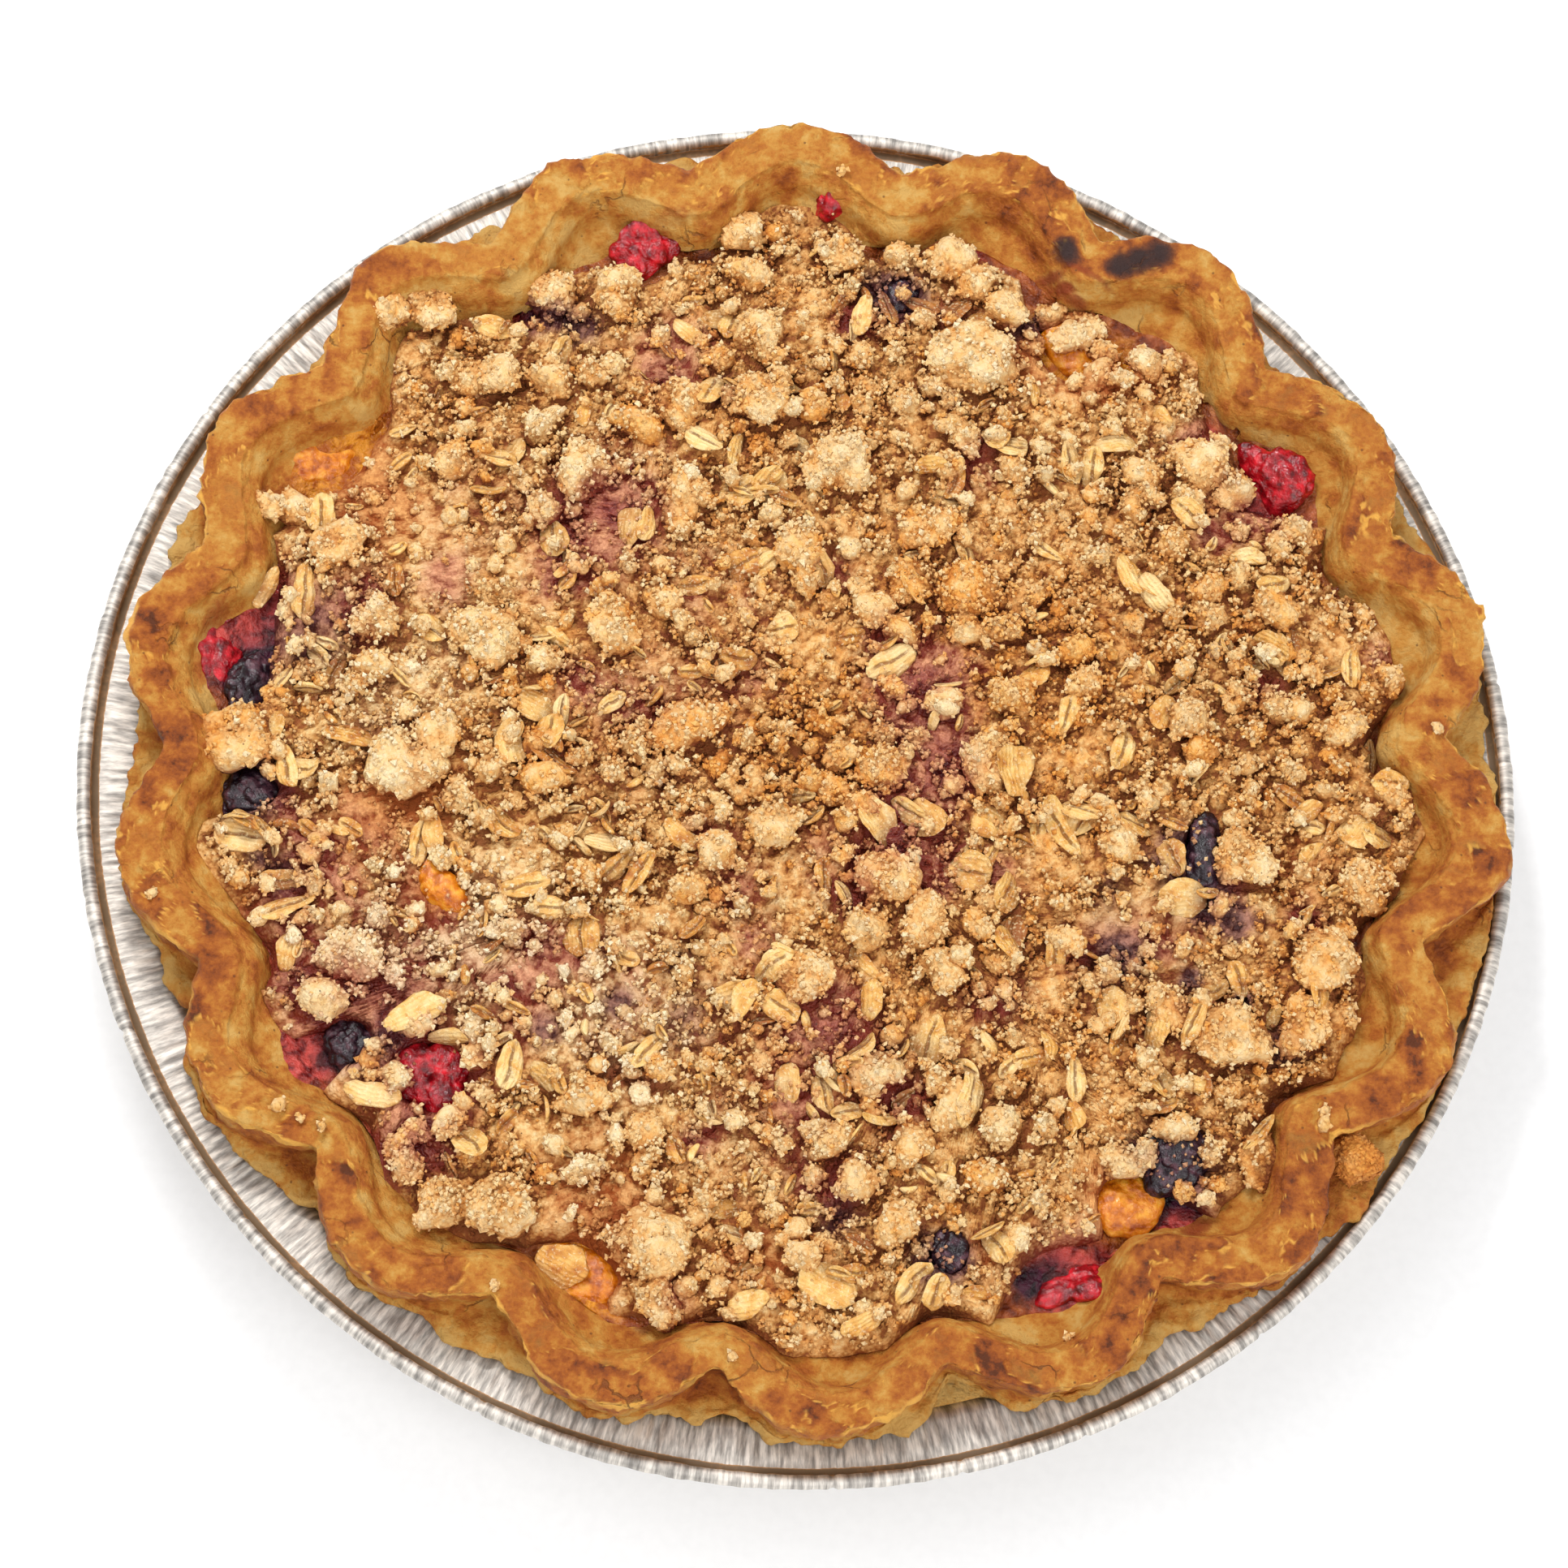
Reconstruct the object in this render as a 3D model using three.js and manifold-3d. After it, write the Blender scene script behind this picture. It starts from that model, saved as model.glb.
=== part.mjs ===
// Strawberry mango crumb pie, whole and uncut, in its foil pan.
// Millimetres, +Z up, origin at the middle of the pan's underside.
// Angles are in degrees, anticlockwise from +X as seen from above.
import * as THREE from 'three';
import { mergeVertices } from 'three/addons/utils/BufferGeometryUtils.js';
import Module from 'manifold-3d';

const wasm = await Module();
wasm.setup();

// Clearances and counts
const GAP = 0.35;                  // between pieces that touch
const PAN_SEGMENTS = 88;           // two for each pleat of the foil
const FLUTE_COUNT = 18;            // pinched waves round the crust
const STEPS_PER_FLUTE = 7;
const FILLING_SEGMENTS = 40;

// Foil pan: a 9 inch pie pan, 9 5/8 inch across its rolled bead
const FOIL = 0.6;
const PAN_BASE_RADIUS = 94;
const PAN_WALL_RADIUS = 111.2;     // inside of the wall where it turns into the flange
const FLANGE_HEIGHT = 27.6;
const FLANGE_RADIUS = 118.8;
const FLANGE_RISE = 1;
const BEAD_RADIUS = 121;           // middle of the rolled bead
const BEAD_HEIGHT = 29.4;
const BEAD_HALF = 1.25;
const PLEAT_DEPTH = 0.3;

// Crust: thick bottom crust, thin brim on the flange, and a pinched rope edge
const CRUST_CENTRE = [2, 1.5];     // the dough sits a little off the pan's middle
const CRUST_THICKNESS = 4.5;
const CRUST_WALL_RADIUS = 88.5;    // inside of the wall at the bottom
const FILL_LINE_RADIUS = 97;
const FILL_LINE_HEIGHT = 28.8;
const BRIM_RADIUS = 115.2;
const BRIM_THICKNESS = 1.6;
const ROPE_FOOT = 31.5;
const ROPE_SHOULDER = 36.2;
const ROPE_TOP = 40.3;
const NOTCH_OUTER = 108.2;         // outer edge of the rope where it is pinched in
const NOTCH_INNER = 98.5;
const LOBE_OUTER = 117.7;          // outer edge of the rope where it swings out
const LOBE_INNER = 107.5;
const FIRST_NOTCH = 11;
const BRIM_TEARS = [                // angle, half width and depth of each tear in the brim
  [291, 5, 7], [272, 4, 4], [212, 4, 3], [233, 3, 3], [310, 4, 3], [52, 5, 4],
];

// Crumb topping
const CRUMB_FLOOR = 29.6;          // underside of the crumbs, just over the filling
const CRUMB_EDGE_HEIGHT = 33;
const CRUMB_DOME = 2.8;            // rise of the crumb bed from its edge to its middle
const CRUMB_INSET = 3.2;           // from the rope's inner face to the crumbs
const CRUMB_REACH = 101;           // how far the crumbs run out into the pockets of the rope
const FILLED_POCKETS = [            // angle, half width and how much further the crumbs run there
  [141, 9, 4.5], [5, 8, 3.5], [196, 8, 3.5], [100, 9, 3],
];
const CRUMB_LIFT = 1.5;            // from the sloping dough to the edge of the crumb bed
const SETTLE_STEP = 1.5;           // each move of a piece that would cross its neighbour
const GOLDEN_ANGLE = 137.508;
const RUBBLE_STEP = 6.8;           // spacing of the small lumps that cover the crumb bed
const RUBBLE_HEIGHT = 1.5;         // how far they stand up or sink
const LUMP_COUNT = 42;
const FLAKE_COUNT = 62;
const FLAKE_THICKNESS = 1.7;
const CLUSTER_ROUGHNESS = 0.13;    // how far corners of a lump stray, as a share of its size
const LUMP_ROUGHNESS = 0.16;
const FRUIT_ROUGHNESS = 0.11;
const BAYS = [                      // angle, half width and radius where the filling is left bare
  [68, 9, 86], [43, 7, 91], [154, 7, 96], [177, 8, 92], [192, 4, 93],
  [210, 13, 91], [254, 5, 92], [303, 7, 92], [316, 7, 86], [116, 4, 96],
];

// Colours and finishes, from the baked pie
const FOIL_FINISH = { color: 0xd6dadb, roughness: 0.32, metalness: 1 };
const CRUST_FINISH = { color: 0xd9964a, roughness: 0.62, metalness: 0 };
const CRUMB_FINISH = { color: 0xdcb277, roughness: 0.85, metalness: 0 };
const FILLING_FINISH = { color: 0xb0542a, roughness: 0.25, metalness: 0 };
const STRAWBERRY_FINISH = { color: 0xae1f2b, roughness: 0.22, metalness: 0 };
const MANGO_FINISH = { color: 0xd2711f, roughness: 0.25, metalness: 0 };
const DARK_BERRY_FINISH = { color: 0x33192a, roughness: 0.3, metalness: 0 };

const radians = THREE.MathUtils.degToRad;
const { clamp, lerp } = THREE.MathUtils;

// Seeded random numbers from 0 to 1, so that the pie comes out the same each time.
function seededRandom(seed) {
  let state = seed >>> 0;
  return () => {
    state = (state + 0x6d2b79f5) >>> 0;
    let mixed = Math.imul(state ^ (state >>> 15), state | 1);
    mixed ^= mixed + Math.imul(mixed ^ (mixed >>> 7), mixed | 61);
    return ((mixed ^ (mixed >>> 14)) >>> 0) / 4294967296;
  };
}

// A smooth uneven curve round the pie, from -1 to 1, that closes on itself.
function wander(angle, waves, phase) {
  const turn = radians(angle);
  const slow = Math.sin(waves * turn + phase);
  const quick = Math.sin((2 * waves + 1) * turn + 2.3 * phase);
  return 0.6 * slow + 0.4 * quick;
}

// A dip that is 1 at an angle and falls smoothly to 0 at a half width from it.
function dip(angle, centre, halfWidth) {
  const away = Math.abs(((angle - centre + 540) % 360) - 180);
  return away >= halfWidth ? 0 : 0.5 + 0.5 * Math.cos((Math.PI * away) / halfWidth);
}

// How far the hand-pinched flutes have drifted from even spacing.
const fluteDrift = (angle) => -0.8 + 1.3 * Math.cos(radians(angle - 20));

// The angle of a step round the crust: the steps follow the flutes, so every notch has one.
function stepAngle(step) {
  const even = FIRST_NOTCH + (step * 360) / (FLUTE_COUNT * STEPS_PER_FLUTE);
  return even + fluteDrift(even);
}

// 0 in the pinch of a notch, 1 on the outward swing of the rope.
function swing(angle) {
  const phase = radians((angle - FIRST_NOTCH - fluteDrift(angle)) * FLUTE_COUNT);
  return 0.5 - 0.5 * Math.cos(phase);
}

// The rope's outer edge: broad lobes and narrow notches, two stretches less full than the rest.
function ropeOuter(angle) {
  const worn = 2 * dip(angle, 50, 26) + 2 * dip(angle, 291, 22);
  const notch = NOTCH_OUTER + 1.4 * Math.cos(radians(angle - 140));
  return lerp(notch, LOBE_OUTER - worn, swing(angle) ** 0.55) + 0.35 * wander(angle, 11, 1);
}

function ropeInner(angle) {
  const notch = NOTCH_INNER + 1.1 * Math.cos(radians(angle - 190));
  return lerp(notch, LOBE_INNER, swing(angle) ** 0.9) + 0.35 * wander(angle, 7, 4);
}

function brimOuter(angle) {
  const torn = BRIM_TEARS.reduce((sum, [at, half, depth]) => sum + depth * dip(angle, at, half), 0);
  const ragged = BRIM_RADIUS + 1.1 * wander(angle, 13, 2) + 0.5 * wander(angle, 31, 5) - torn;
  return Math.max(ragged, ropeOuter(angle) - 0.3);
}

// Height of the flange's upper face under a point of the brim.
const flangeHeight = (radius) => {
  const share = clamp((radius - PAN_WALL_RADIUS) / (FLANGE_RADIUS - PAN_WALL_RADIUS), 0, 1);
  return FLANGE_HEIGHT + FLANGE_RISE * share;
};

// Height of the dough between the fill line and the rope's inner foot.
function doughHeight(angle, radius) {
  const foot = ropeInner(angle) - 0.8;
  const share = clamp((radius - FILL_LINE_RADIUS) / Math.max(foot - FILL_LINE_RADIUS, 0.2), 0, 1);
  return lerp(FILL_LINE_HEIGHT, ROPE_FOOT + 1.5, share);
}

// Removes triangles that have shrunk to a line, as at the axis of a turned body.
function cleanMesh(geometry) {
  geometry.deleteAttribute('normal');
  geometry.deleteAttribute('uv');
  const merged = mergeVertices(geometry, 1e-4);
  const corners = merged.index.array;
  const kept = [];
  for (let i = 0; i < corners.length; i += 3) {
    const [a, b, c] = [corners[i], corners[i + 1], corners[i + 2]];
    if (a !== b && b !== c && c !== a) kept.push(a, b, c);
  }
  merged.setIndex(kept);
  return merged;
}

// Turns a face list over where the body would be inside out.
function faceOutward(geometry) {
  const place = geometry.attributes.position;
  const corners = Array.from(geometry.index.array);
  const [a, b, c] = [new THREE.Vector3(), new THREE.Vector3(), new THREE.Vector3()];
  let volume = 0;
  for (let i = 0; i < corners.length; i += 3) {
    a.fromBufferAttribute(place, corners[i]);
    b.fromBufferAttribute(place, corners[i + 1]);
    c.fromBufferAttribute(place, corners[i + 2]);
    volume += a.dot(b.cross(c));
  }
  if (volume < 0) {
    for (let i = 0; i < corners.length; i += 3) {
      [corners[i], corners[i + 1]] = [corners[i + 1], corners[i]];
    }
    geometry.setIndex(corners);
  }
  return geometry;
}

// A turned body whose rings are then bent: each ring is a function of the step round the body
// that gives the point's x, y and z, and the first and last rings are points on the axis.
function bentLathe(rings, segments) {
  const outline = rings.map((ring, row) => {
    const atAxis = row === 0 || row === rings.length - 1;
    return new THREE.Vector2(atAxis ? 0 : 1, row);
  });
  const geometry = new THREE.LatheGeometry(outline, segments);
  const place = geometry.attributes.position;
  for (let index = 0; index < place.count; index += 1) {
    const step = Math.floor(index / rings.length) % segments;
    place.setXYZ(index, ...rings[index % rings.length](step));
  }
  return faceOutward(cleanMesh(geometry));
}

const polar = (angle, radius, height, centre = [0, 0]) => [
  centre[0] + radius * Math.cos(radians(angle)),
  centre[1] + radius * Math.sin(radians(angle)),
  height,
];

// The foil pan: a thin shell with a pleated wall and flange and a rolled bead.
function foilPanGeometry() {
  const ring = (radius, height, pleat = 0) => (step) => {
    const fold = step % 2 === 0 ? pleat : -pleat;
    const angle = (step * 360) / PAN_SEGMENTS;
    return polar(angle, radius - fold, height + fold);
  };
  const flangeTop = FLANGE_HEIGHT + FLANGE_RISE;
  return bentLathe([
    ring(0, 0),
    ring(PAN_BASE_RADIUS + FOIL * 0.6, 0),
    ring(PAN_WALL_RADIUS + FOIL * 0.8, FLANGE_HEIGHT - FOIL * 1.3, PLEAT_DEPTH),
    ring(FLANGE_RADIUS, flangeTop - FOIL * 1.2, PLEAT_DEPTH * 0.6),
    ring(BEAD_RADIUS - BEAD_HALF * 0.2, BEAD_HEIGHT - BEAD_HALF),
    ring(BEAD_RADIUS + BEAD_HALF, BEAD_HEIGHT),
    ring(BEAD_RADIUS + BEAD_HALF * 0.6, BEAD_HEIGHT + BEAD_HALF),
    ring(BEAD_RADIUS - BEAD_HALF * 0.5, BEAD_HEIGHT + BEAD_HALF),
    ring(BEAD_RADIUS - BEAD_HALF, BEAD_HEIGHT - 0.1),
    ring(FLANGE_RADIUS, flangeTop, PLEAT_DEPTH * 0.6),
    ring(PAN_WALL_RADIUS, FLANGE_HEIGHT, PLEAT_DEPTH),
    ring(PAN_BASE_RADIUS, FOIL),
    ring(0, FOIL),
  ], PAN_SEGMENTS);
}

// The crust. Grown by a clearance, its inner face is the shape that the topping keeps out of.
function crustGeometry(grow = 0) {
  const clear = GAP + PLEAT_DEPTH;
  const base = FOIL + GAP;
  const brimLimit = BEAD_RADIUS - BEAD_HALF - 0.7;
  const onPan = (radius, height) => (step) => polar(stepAngle(step), radius, height);
  const onDough = (radiusAt, heightAt) => (step) => {
    const angle = stepAngle(step);
    const [x, y, z] = polar(angle, radiusAt(angle), heightAt(angle), CRUST_CENTRE);
    const shrink = z < ROPE_FOOT + 0.1 ? Math.min(1, brimLimit / Math.hypot(x, y)) : 1;
    return [x * shrink, y * shrink, z];
  };
  const brimFloor = (angle) => flangeHeight(brimOuter(angle)) + clear + 0.1;
  const crown = (angle) => ROPE_TOP + 0.5 * wander(angle, 9, 3) - 0.5 * (1 - swing(angle));
  const footOuter = (angle) => Math.min(ropeOuter(angle) - 0.2, brimOuter(angle) - 0.4);
  return bentLathe([
    onPan(0, base),
    onPan(PAN_BASE_RADIUS - clear * 1.2, base),
    onPan(PAN_WALL_RADIUS - clear * 0.9, FLANGE_HEIGHT + clear * 0.6),
    onDough((angle) => brimOuter(angle) - 0.7, brimFloor),
    onDough(brimOuter, (angle) => brimFloor(angle) + BRIM_THICKNESS * 0.7),
    onDough(footOuter, () => ROPE_FOOT),
    onDough(ropeOuter, () => ROPE_SHOULDER),
    onDough((angle) => ropeOuter(angle) - 2.4, (angle) => crown(angle) - 0.2),
    onDough((angle) => ropeInner(angle) + 2.7 - grow, (angle) => crown(angle) + grow),
    onDough((angle) => ropeInner(angle) - grow, () => ROPE_SHOULDER + 0.8 + grow),
    onDough((angle) => ropeInner(angle) - 0.8 - grow, () => ROPE_FOOT + 1.5 + grow),
    onDough(() => FILL_LINE_RADIUS - grow, () => FILL_LINE_HEIGHT + grow),
    onPan(CRUST_WALL_RADIUS - grow, base + CRUST_THICKNESS + grow),
    onPan(0, base + CRUST_THICKNESS + grow),
  ], FLUTE_COUNT * STEPS_PER_FLUTE);
}

// The filling: one body up to the fill line, its top a little uneven.
function fillingGeometry(grow = 0) {
  const floor = FOIL + 2 * GAP + CRUST_THICKNESS;
  const angleOf = (step) => (step * 360) / FILLING_SEGMENTS;
  const ring = (radius, height, centre) => (step) => polar(angleOf(step), radius, height, centre);
  const surface = (radius) => (step) => {
    const height = FILL_LINE_HEIGHT + 0.25 + 0.15 * wander(angleOf(step), 5, radius) + grow;
    return polar(angleOf(step), radius, height, CRUST_CENTRE);
  };
  return bentLathe([
    ring(0, floor),
    ring(CRUST_WALL_RADIUS - 2 * GAP, floor),
    ring(FILL_LINE_RADIUS - 2 * GAP, FILL_LINE_HEIGHT - 0.4 + grow, CRUST_CENTRE),
    surface(FILL_LINE_RADIUS - 3),
    surface(FILL_LINE_RADIUS - 20),
    ring(0, FILL_LINE_HEIGHT + 0.2 + grow),
  ], FILLING_SEGMENTS);
}

// The edge of the crumb bed: into the pockets of the rope, back from it where filling is bare.
function crumbEdge(angle) {
  const spill = FILLED_POCKETS.reduce((sum, [at, half, more]) => sum + more * dip(angle, at, half), 0);
  const reach = CRUMB_REACH + spill + 1.5 * wander(angle, 8, 6);
  const packed = Math.min(ropeInner(angle) - CRUMB_INSET, reach);
  return BAYS.reduce((edge, [at, half, bare]) => {
    const share = Math.sqrt(dip(angle, at, half));
    return Math.min(edge, lerp(edge, bare, share));
  }, packed);
}

function crumbBedHeight(x, y) {
  const radius = Math.hypot(x - CRUST_CENTRE[0], y - CRUST_CENTRE[1]);
  const dome = CRUMB_DOME * (1 - (radius / FILL_LINE_RADIUS) ** 2);
  const uneven = Math.sin(x * 0.11 + 1) * Math.sin(y * 0.13 + 2) + Math.sin(x * 0.05 - y * 0.07);
  return CRUMB_EDGE_HEIGHT + dome + 0.45 * uneven;
}

// The outline of the crumb bed: its floor and sides, closed by a cone well above the rubble.
function crumbOutlineGeometry() {
  const edgeFloor = (angle) => {
    const edge = crumbEdge(angle);
    return edge < FILL_LINE_RADIUS - 1 ? CRUMB_FLOOR : doughHeight(angle, edge) + CRUMB_LIFT;
  };
  const ring = (radiusAt, heightAt) => (step) => {
    const angle = stepAngle(step);
    return polar(angle, radiusAt(angle), heightAt(angle), CRUST_CENTRE);
  };
  return bentLathe([
    ring(() => 0, () => CRUMB_FLOOR),
    ring((angle) => Math.min(crumbEdge(angle), FILL_LINE_RADIUS) - 2.5, () => CRUMB_FLOOR),
    ring(crumbEdge, edgeFloor),
    ring((angle) => crumbEdge(angle) - 3, () => CRUMB_EDGE_HEIGHT + RUBBLE_HEIGHT),
    ring(() => 0, () => 2 * ROPE_TOP),
  ], FLUTE_COUNT * STEPS_PER_FLUTE);
}

// Rubble: a slab whose upper face is a net of small lumps, none on a regular spacing.
function rubbleGeometry() {
  const random = seededRandom(12);
  const across = 2 * (CRUMB_REACH + RUBBLE_STEP);
  const cells = Math.round(across / RUBBLE_STEP);
  const geometry = cleanMesh(new THREE.BoxGeometry(across, across, ROPE_TOP, cells, cells, 1));
  const place = geometry.attributes.position;
  for (let index = 0; index < place.count; index += 1) {
    const upper = place.getZ(index) > 0;
    const x = place.getX(index) + CRUST_CENTRE[0] + (random() - 0.5) * RUBBLE_STEP * 0.7;
    const y = place.getY(index) + CRUST_CENTRE[1] + (random() - 0.5) * RUBBLE_STEP * 0.7;
    const lump = RUBBLE_HEIGHT * (2 * random() - 1);
    place.setXYZ(index, x, y, upper ? crumbBedHeight(x, y) + lump : 0);
  }
  return faceOutward(geometry);
}

// A rough lump: a ball of facets, each corner pushed in or out, squashed to its three sizes.
function lumpGeometry(random, [length, width, height], faces, roughness) {
  const balls = {
    20: () => new THREE.IcosahedronGeometry(0.5, 0),
    80: () => new THREE.IcosahedronGeometry(0.5, 1),
  };
  const geometry = cleanMesh(balls[faces]());
  const place = geometry.attributes.position;
  for (let index = 0; index < place.count; index += 1) {
    const push = 1 + roughness * (2 * random() - 1);
    const [x, y, z] = [place.getX(index), place.getY(index), place.getZ(index)];
    place.setXYZ(index, x * push * length, y * push * width, z * push * height);
  }
  return faceOutward(geometry);
}

// An oat flake: a thin oval disc, thickest in the middle.
function flakeGeometry(random, length, width) {
  const geometry = cleanMesh(new THREE.SphereGeometry(0.5, 6, 2));
  const place = geometry.attributes.position;
  const bend = 0.6 * (random() - 0.5);
  for (let index = 0; index < place.count; index += 1) {
    const [x, y, z] = [place.getX(index), place.getZ(index), place.getY(index)];
    const curl = bend * x * x * length * 0.5;
    place.setXYZ(index, x * length, y * width, z * FLAKE_THICKNESS + curl);
  }
  return faceOutward(geometry);
}

function solidFrom(geometry) {
  const mesh = new wasm.Mesh({
    numProp: 3,
    vertProperties: new Float32Array(geometry.attributes.position.array),
    triVerts: new Uint32Array(geometry.index.array),
  });
  return new wasm.Manifold(mesh);
}

function geometryFrom(solid) {
  const mesh = solid.getMesh();
  const geometry = new THREE.BufferGeometry();
  geometry.setAttribute('position', new THREE.BufferAttribute(new Float32Array(mesh.vertProperties), 3));
  geometry.setIndex(Array.from(mesh.triVerts));
  return geometry;
}

// Only the main body of a cut solid is kept; loose scraps are dropped.
function mainBody(solid) {
  return solid.decompose().reduce((best, part) => (part.volume() > best.volume() ? part : best));
}

// Fruit that shows: angle and radius about the crust's middle, height of its middle, its length
// round the pie, width across and height, a twist from the round-the-pie direction, and a tilt.
const FRUIT = [
  ['strawberry_1', 115, 99.6, 32.6, 12, 8.4, 7.4, 0, 10],
  ['strawberry_2', 97.2, 105, 34, 5, 4, 6, 0, 0],
  ['strawberry_3', 43.5, 97.4, 32.2, 13.5, 8.4, 6, 8, 0],
  ['strawberry_4', 176.6, 102.8, 32.6, 17.5, 7.6, 6, 4, 0],
  ['strawberry_5', 229.6, 83.6, 31.6, 12, 11.5, 5, 20, 0],
  ['strawberry_6', 304.6, 98.6, 31.6, 13.5, 5, 4.4, -8, 0],
  ['mango_1', 154.6, 102.6, 31.4, 11, 10, 5, 30, 0],
  ['mango_2', 313, 91.2, 31.4, 9.4, 10.2, 5, 0, 0],
  ['mango_3', 67.4, 92, 30.8, 15, 8, 4, 0, 0],
  ['mango_4', 255, 96, 30.8, 12, 8, 3.6, 0, 0],
  ['mango_5', 209, 66, 32.8, 5.4, 3.6, 7.4, 20, 0],
  ['dark_berry_1', 320.4, 90, 32.4, 12.6, 10, 6, 30, 0],
  ['dark_berry_2', 355.6, 67.4, 32.6, 14, 6.4, 7.2, 10, 0],
  ['dark_berry_3', 88.7, 88.6, 31.9, 5.6, 6.4, 5.8, 0, 0],
  ['dark_berry_4', 220.4, 92, 31, 6.4, 8, 4, 0, 0],
  ['dark_berry_5', 191.6, 96, 31.2, 6, 8, 4, 0, 0],
  ['dark_berry_6', 179.6, 95.8, 31.8, 11, 8, 5, 0, 0],
  ['dark_berry_7', 293, 87.2, 32.2, 5.4, 6.6, 6.2, 0, 0],
];
const FRUIT_DETAIL_SIZE = 8;       // pieces longer than this get the finer ball

function fruitGeometry([, angle, radius, height, length, width, tall, twist, tilt], seed, grow = 0) {
  const random = seededRandom(seed);
  const size = [length + 2 * grow, width + 2 * grow, tall + 2 * grow];
  const faces = length > FRUIT_DETAIL_SIZE ? 80 : 20;
  const geometry = lumpGeometry(random, size, faces, FRUIT_ROUGHNESS);
  geometry.rotateX(radians(tilt));
  geometry.rotateZ(radians(angle + 90 + twist));
  geometry.translate(...polar(angle, radius, height, CRUST_CENTRE));
  return geometry;
}

const crustSolid = solidFrom(crustGeometry());
const crustRoom = solidFrom(crustGeometry(GAP));
const fillingRoom = solidFrom(fillingGeometry(GAP));

// Each piece of fruit is cut clear of the dough, the filling and the fruit placed before it.
const fruitSolids = [];
const fruitRooms = [];
FRUIT.forEach((entry, index) => {
  const seed = 100 + index;
  let solid = solidFrom(fruitGeometry(entry, seed));
  solid = solid.subtract(crustRoom).subtract(fillingRoom);
  fruitRooms.forEach((room) => { solid = solid.subtract(room); });
  fruitSolids.push(mainBody(solid));
  fruitRooms.push(solidFrom(fruitGeometry(entry, seed, GAP)));
});

// Large clusters that stand out: angle, radius, length, width, height, and turn from round the pie.
const LARGE_CLUSTERS = [
  [78, 79.3, 16.5, 12, 6, 10], [244.7, 94, 11.7, 11, 6, 0], [260.4, 88, 13.8, 13, 6.5, 0],
  [333.4, 83.7, 15.8, 12.4, 6, 70], [346.8, 91.2, 15, 12.4, 6, 80], [176.7, 22.4, 18, 7.6, 5, 60],
  [57, 39.9, 12.4, 9.6, 5.5, 30], [11, 30.7, 10.3, 12.4, 5, 0], [186, 93.2, 13, 14, 6.5, 0],
  [94, 53.6, 13, 9, 5.5, 0], [135.8, 65, 10.3, 10.3, 5.5, 0], [106.3, 66.4, 11.7, 10.3, 5, 0],
  [238.6, 93.5, 13, 9.6, 5.5, 0], [309, 24.5, 9.6, 9.6, 5, 0], [2, 11, 8.3, 9.6, 5, 0],
  [276.4, 38.8, 9, 9, 5, 0], [353.6, 77, 11, 13, 5.5, 0], [262.8, 97, 10, 8, 5, 0],
  [280, 92, 8.3, 8.3, 5, 0], [5, 98.5, 8, 9, 5, 0],
];
const LARGE_CLUSTER_SIZE = 14;     // clusters longer than this get the finer ball

function clearOfFruit(x, y, reach) {
  return FRUIT.every(([, angle, radius, , length, width]) => {
    const [fruitX, fruitY] = polar(angle, radius, 0, CRUST_CENTRE);
    return Math.hypot(x - fruitX, y - fruitY) > reach + (length + width) / 4;
  });
}

// A spot for a piece of the topping, or null where it would cross the rope, a bay or a fruit.
function crumbSpot(angle, radius, reach) {
  const [x, y] = polar(angle, radius, 0, CRUST_CENTRE);
  const inside = radius + reach * 0.75 < crumbEdge(angle);
  return inside && clearOfFruit(x, y, reach) ? [x, y, crumbBedHeight(x, y)] : null;
}

function clusterPieces() {
  const random = seededRandom(7);
  const pieces = [];
  LARGE_CLUSTERS.forEach(([angle, radius, length, width, height, turn]) => {
    const faces = length > LARGE_CLUSTER_SIZE ? 80 : 20;
    const geometry = lumpGeometry(random, [length, width, height], faces, CLUSTER_ROUGHNESS);
    const [x, y] = polar(angle, radius, 0, CRUST_CENTRE);
    geometry.rotateZ(radians(angle + 90 + turn));
    geometry.translate(x, y, crumbBedHeight(x, y) + height * 0.22);
    pieces.push(geometry);
  });
  return pieces;
}

// Lumps run from the largest to the smallest along a sunflower spiral, so all sizes are spread.
function lumpPieces() {
  const random = seededRandom(21);
  const pieces = [];
  for (let index = 0; index < LUMP_COUNT; index += 1) {
    const share = ((index * 61) % LUMP_COUNT + 0.5) / LUMP_COUNT;
    const radius = FILL_LINE_RADIUS * Math.sqrt(share) + 2 * (random() - 0.5);
    const angle = index * GOLDEN_ANGLE + 4 * (random() - 0.5);
    const length = lerp(10, 6.5, index / LUMP_COUNT) * lerp(0.85, 1.2, random());
    const width = length * lerp(0.6, 0.95, random());
    const height = length * lerp(0.5, 0.7, random());
    const turn = 360 * random();
    const spot = crumbSpot(angle, radius, length / 2);
    if (!spot) continue;
    const geometry = lumpGeometry(random, [length, width, height], 20, LUMP_ROUGHNESS);
    geometry.rotateZ(radians(turn));
    geometry.translate(spot[0], spot[1], spot[2] + height * 0.32);
    pieces.push(geometry);
  }
  return pieces;
}

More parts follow.
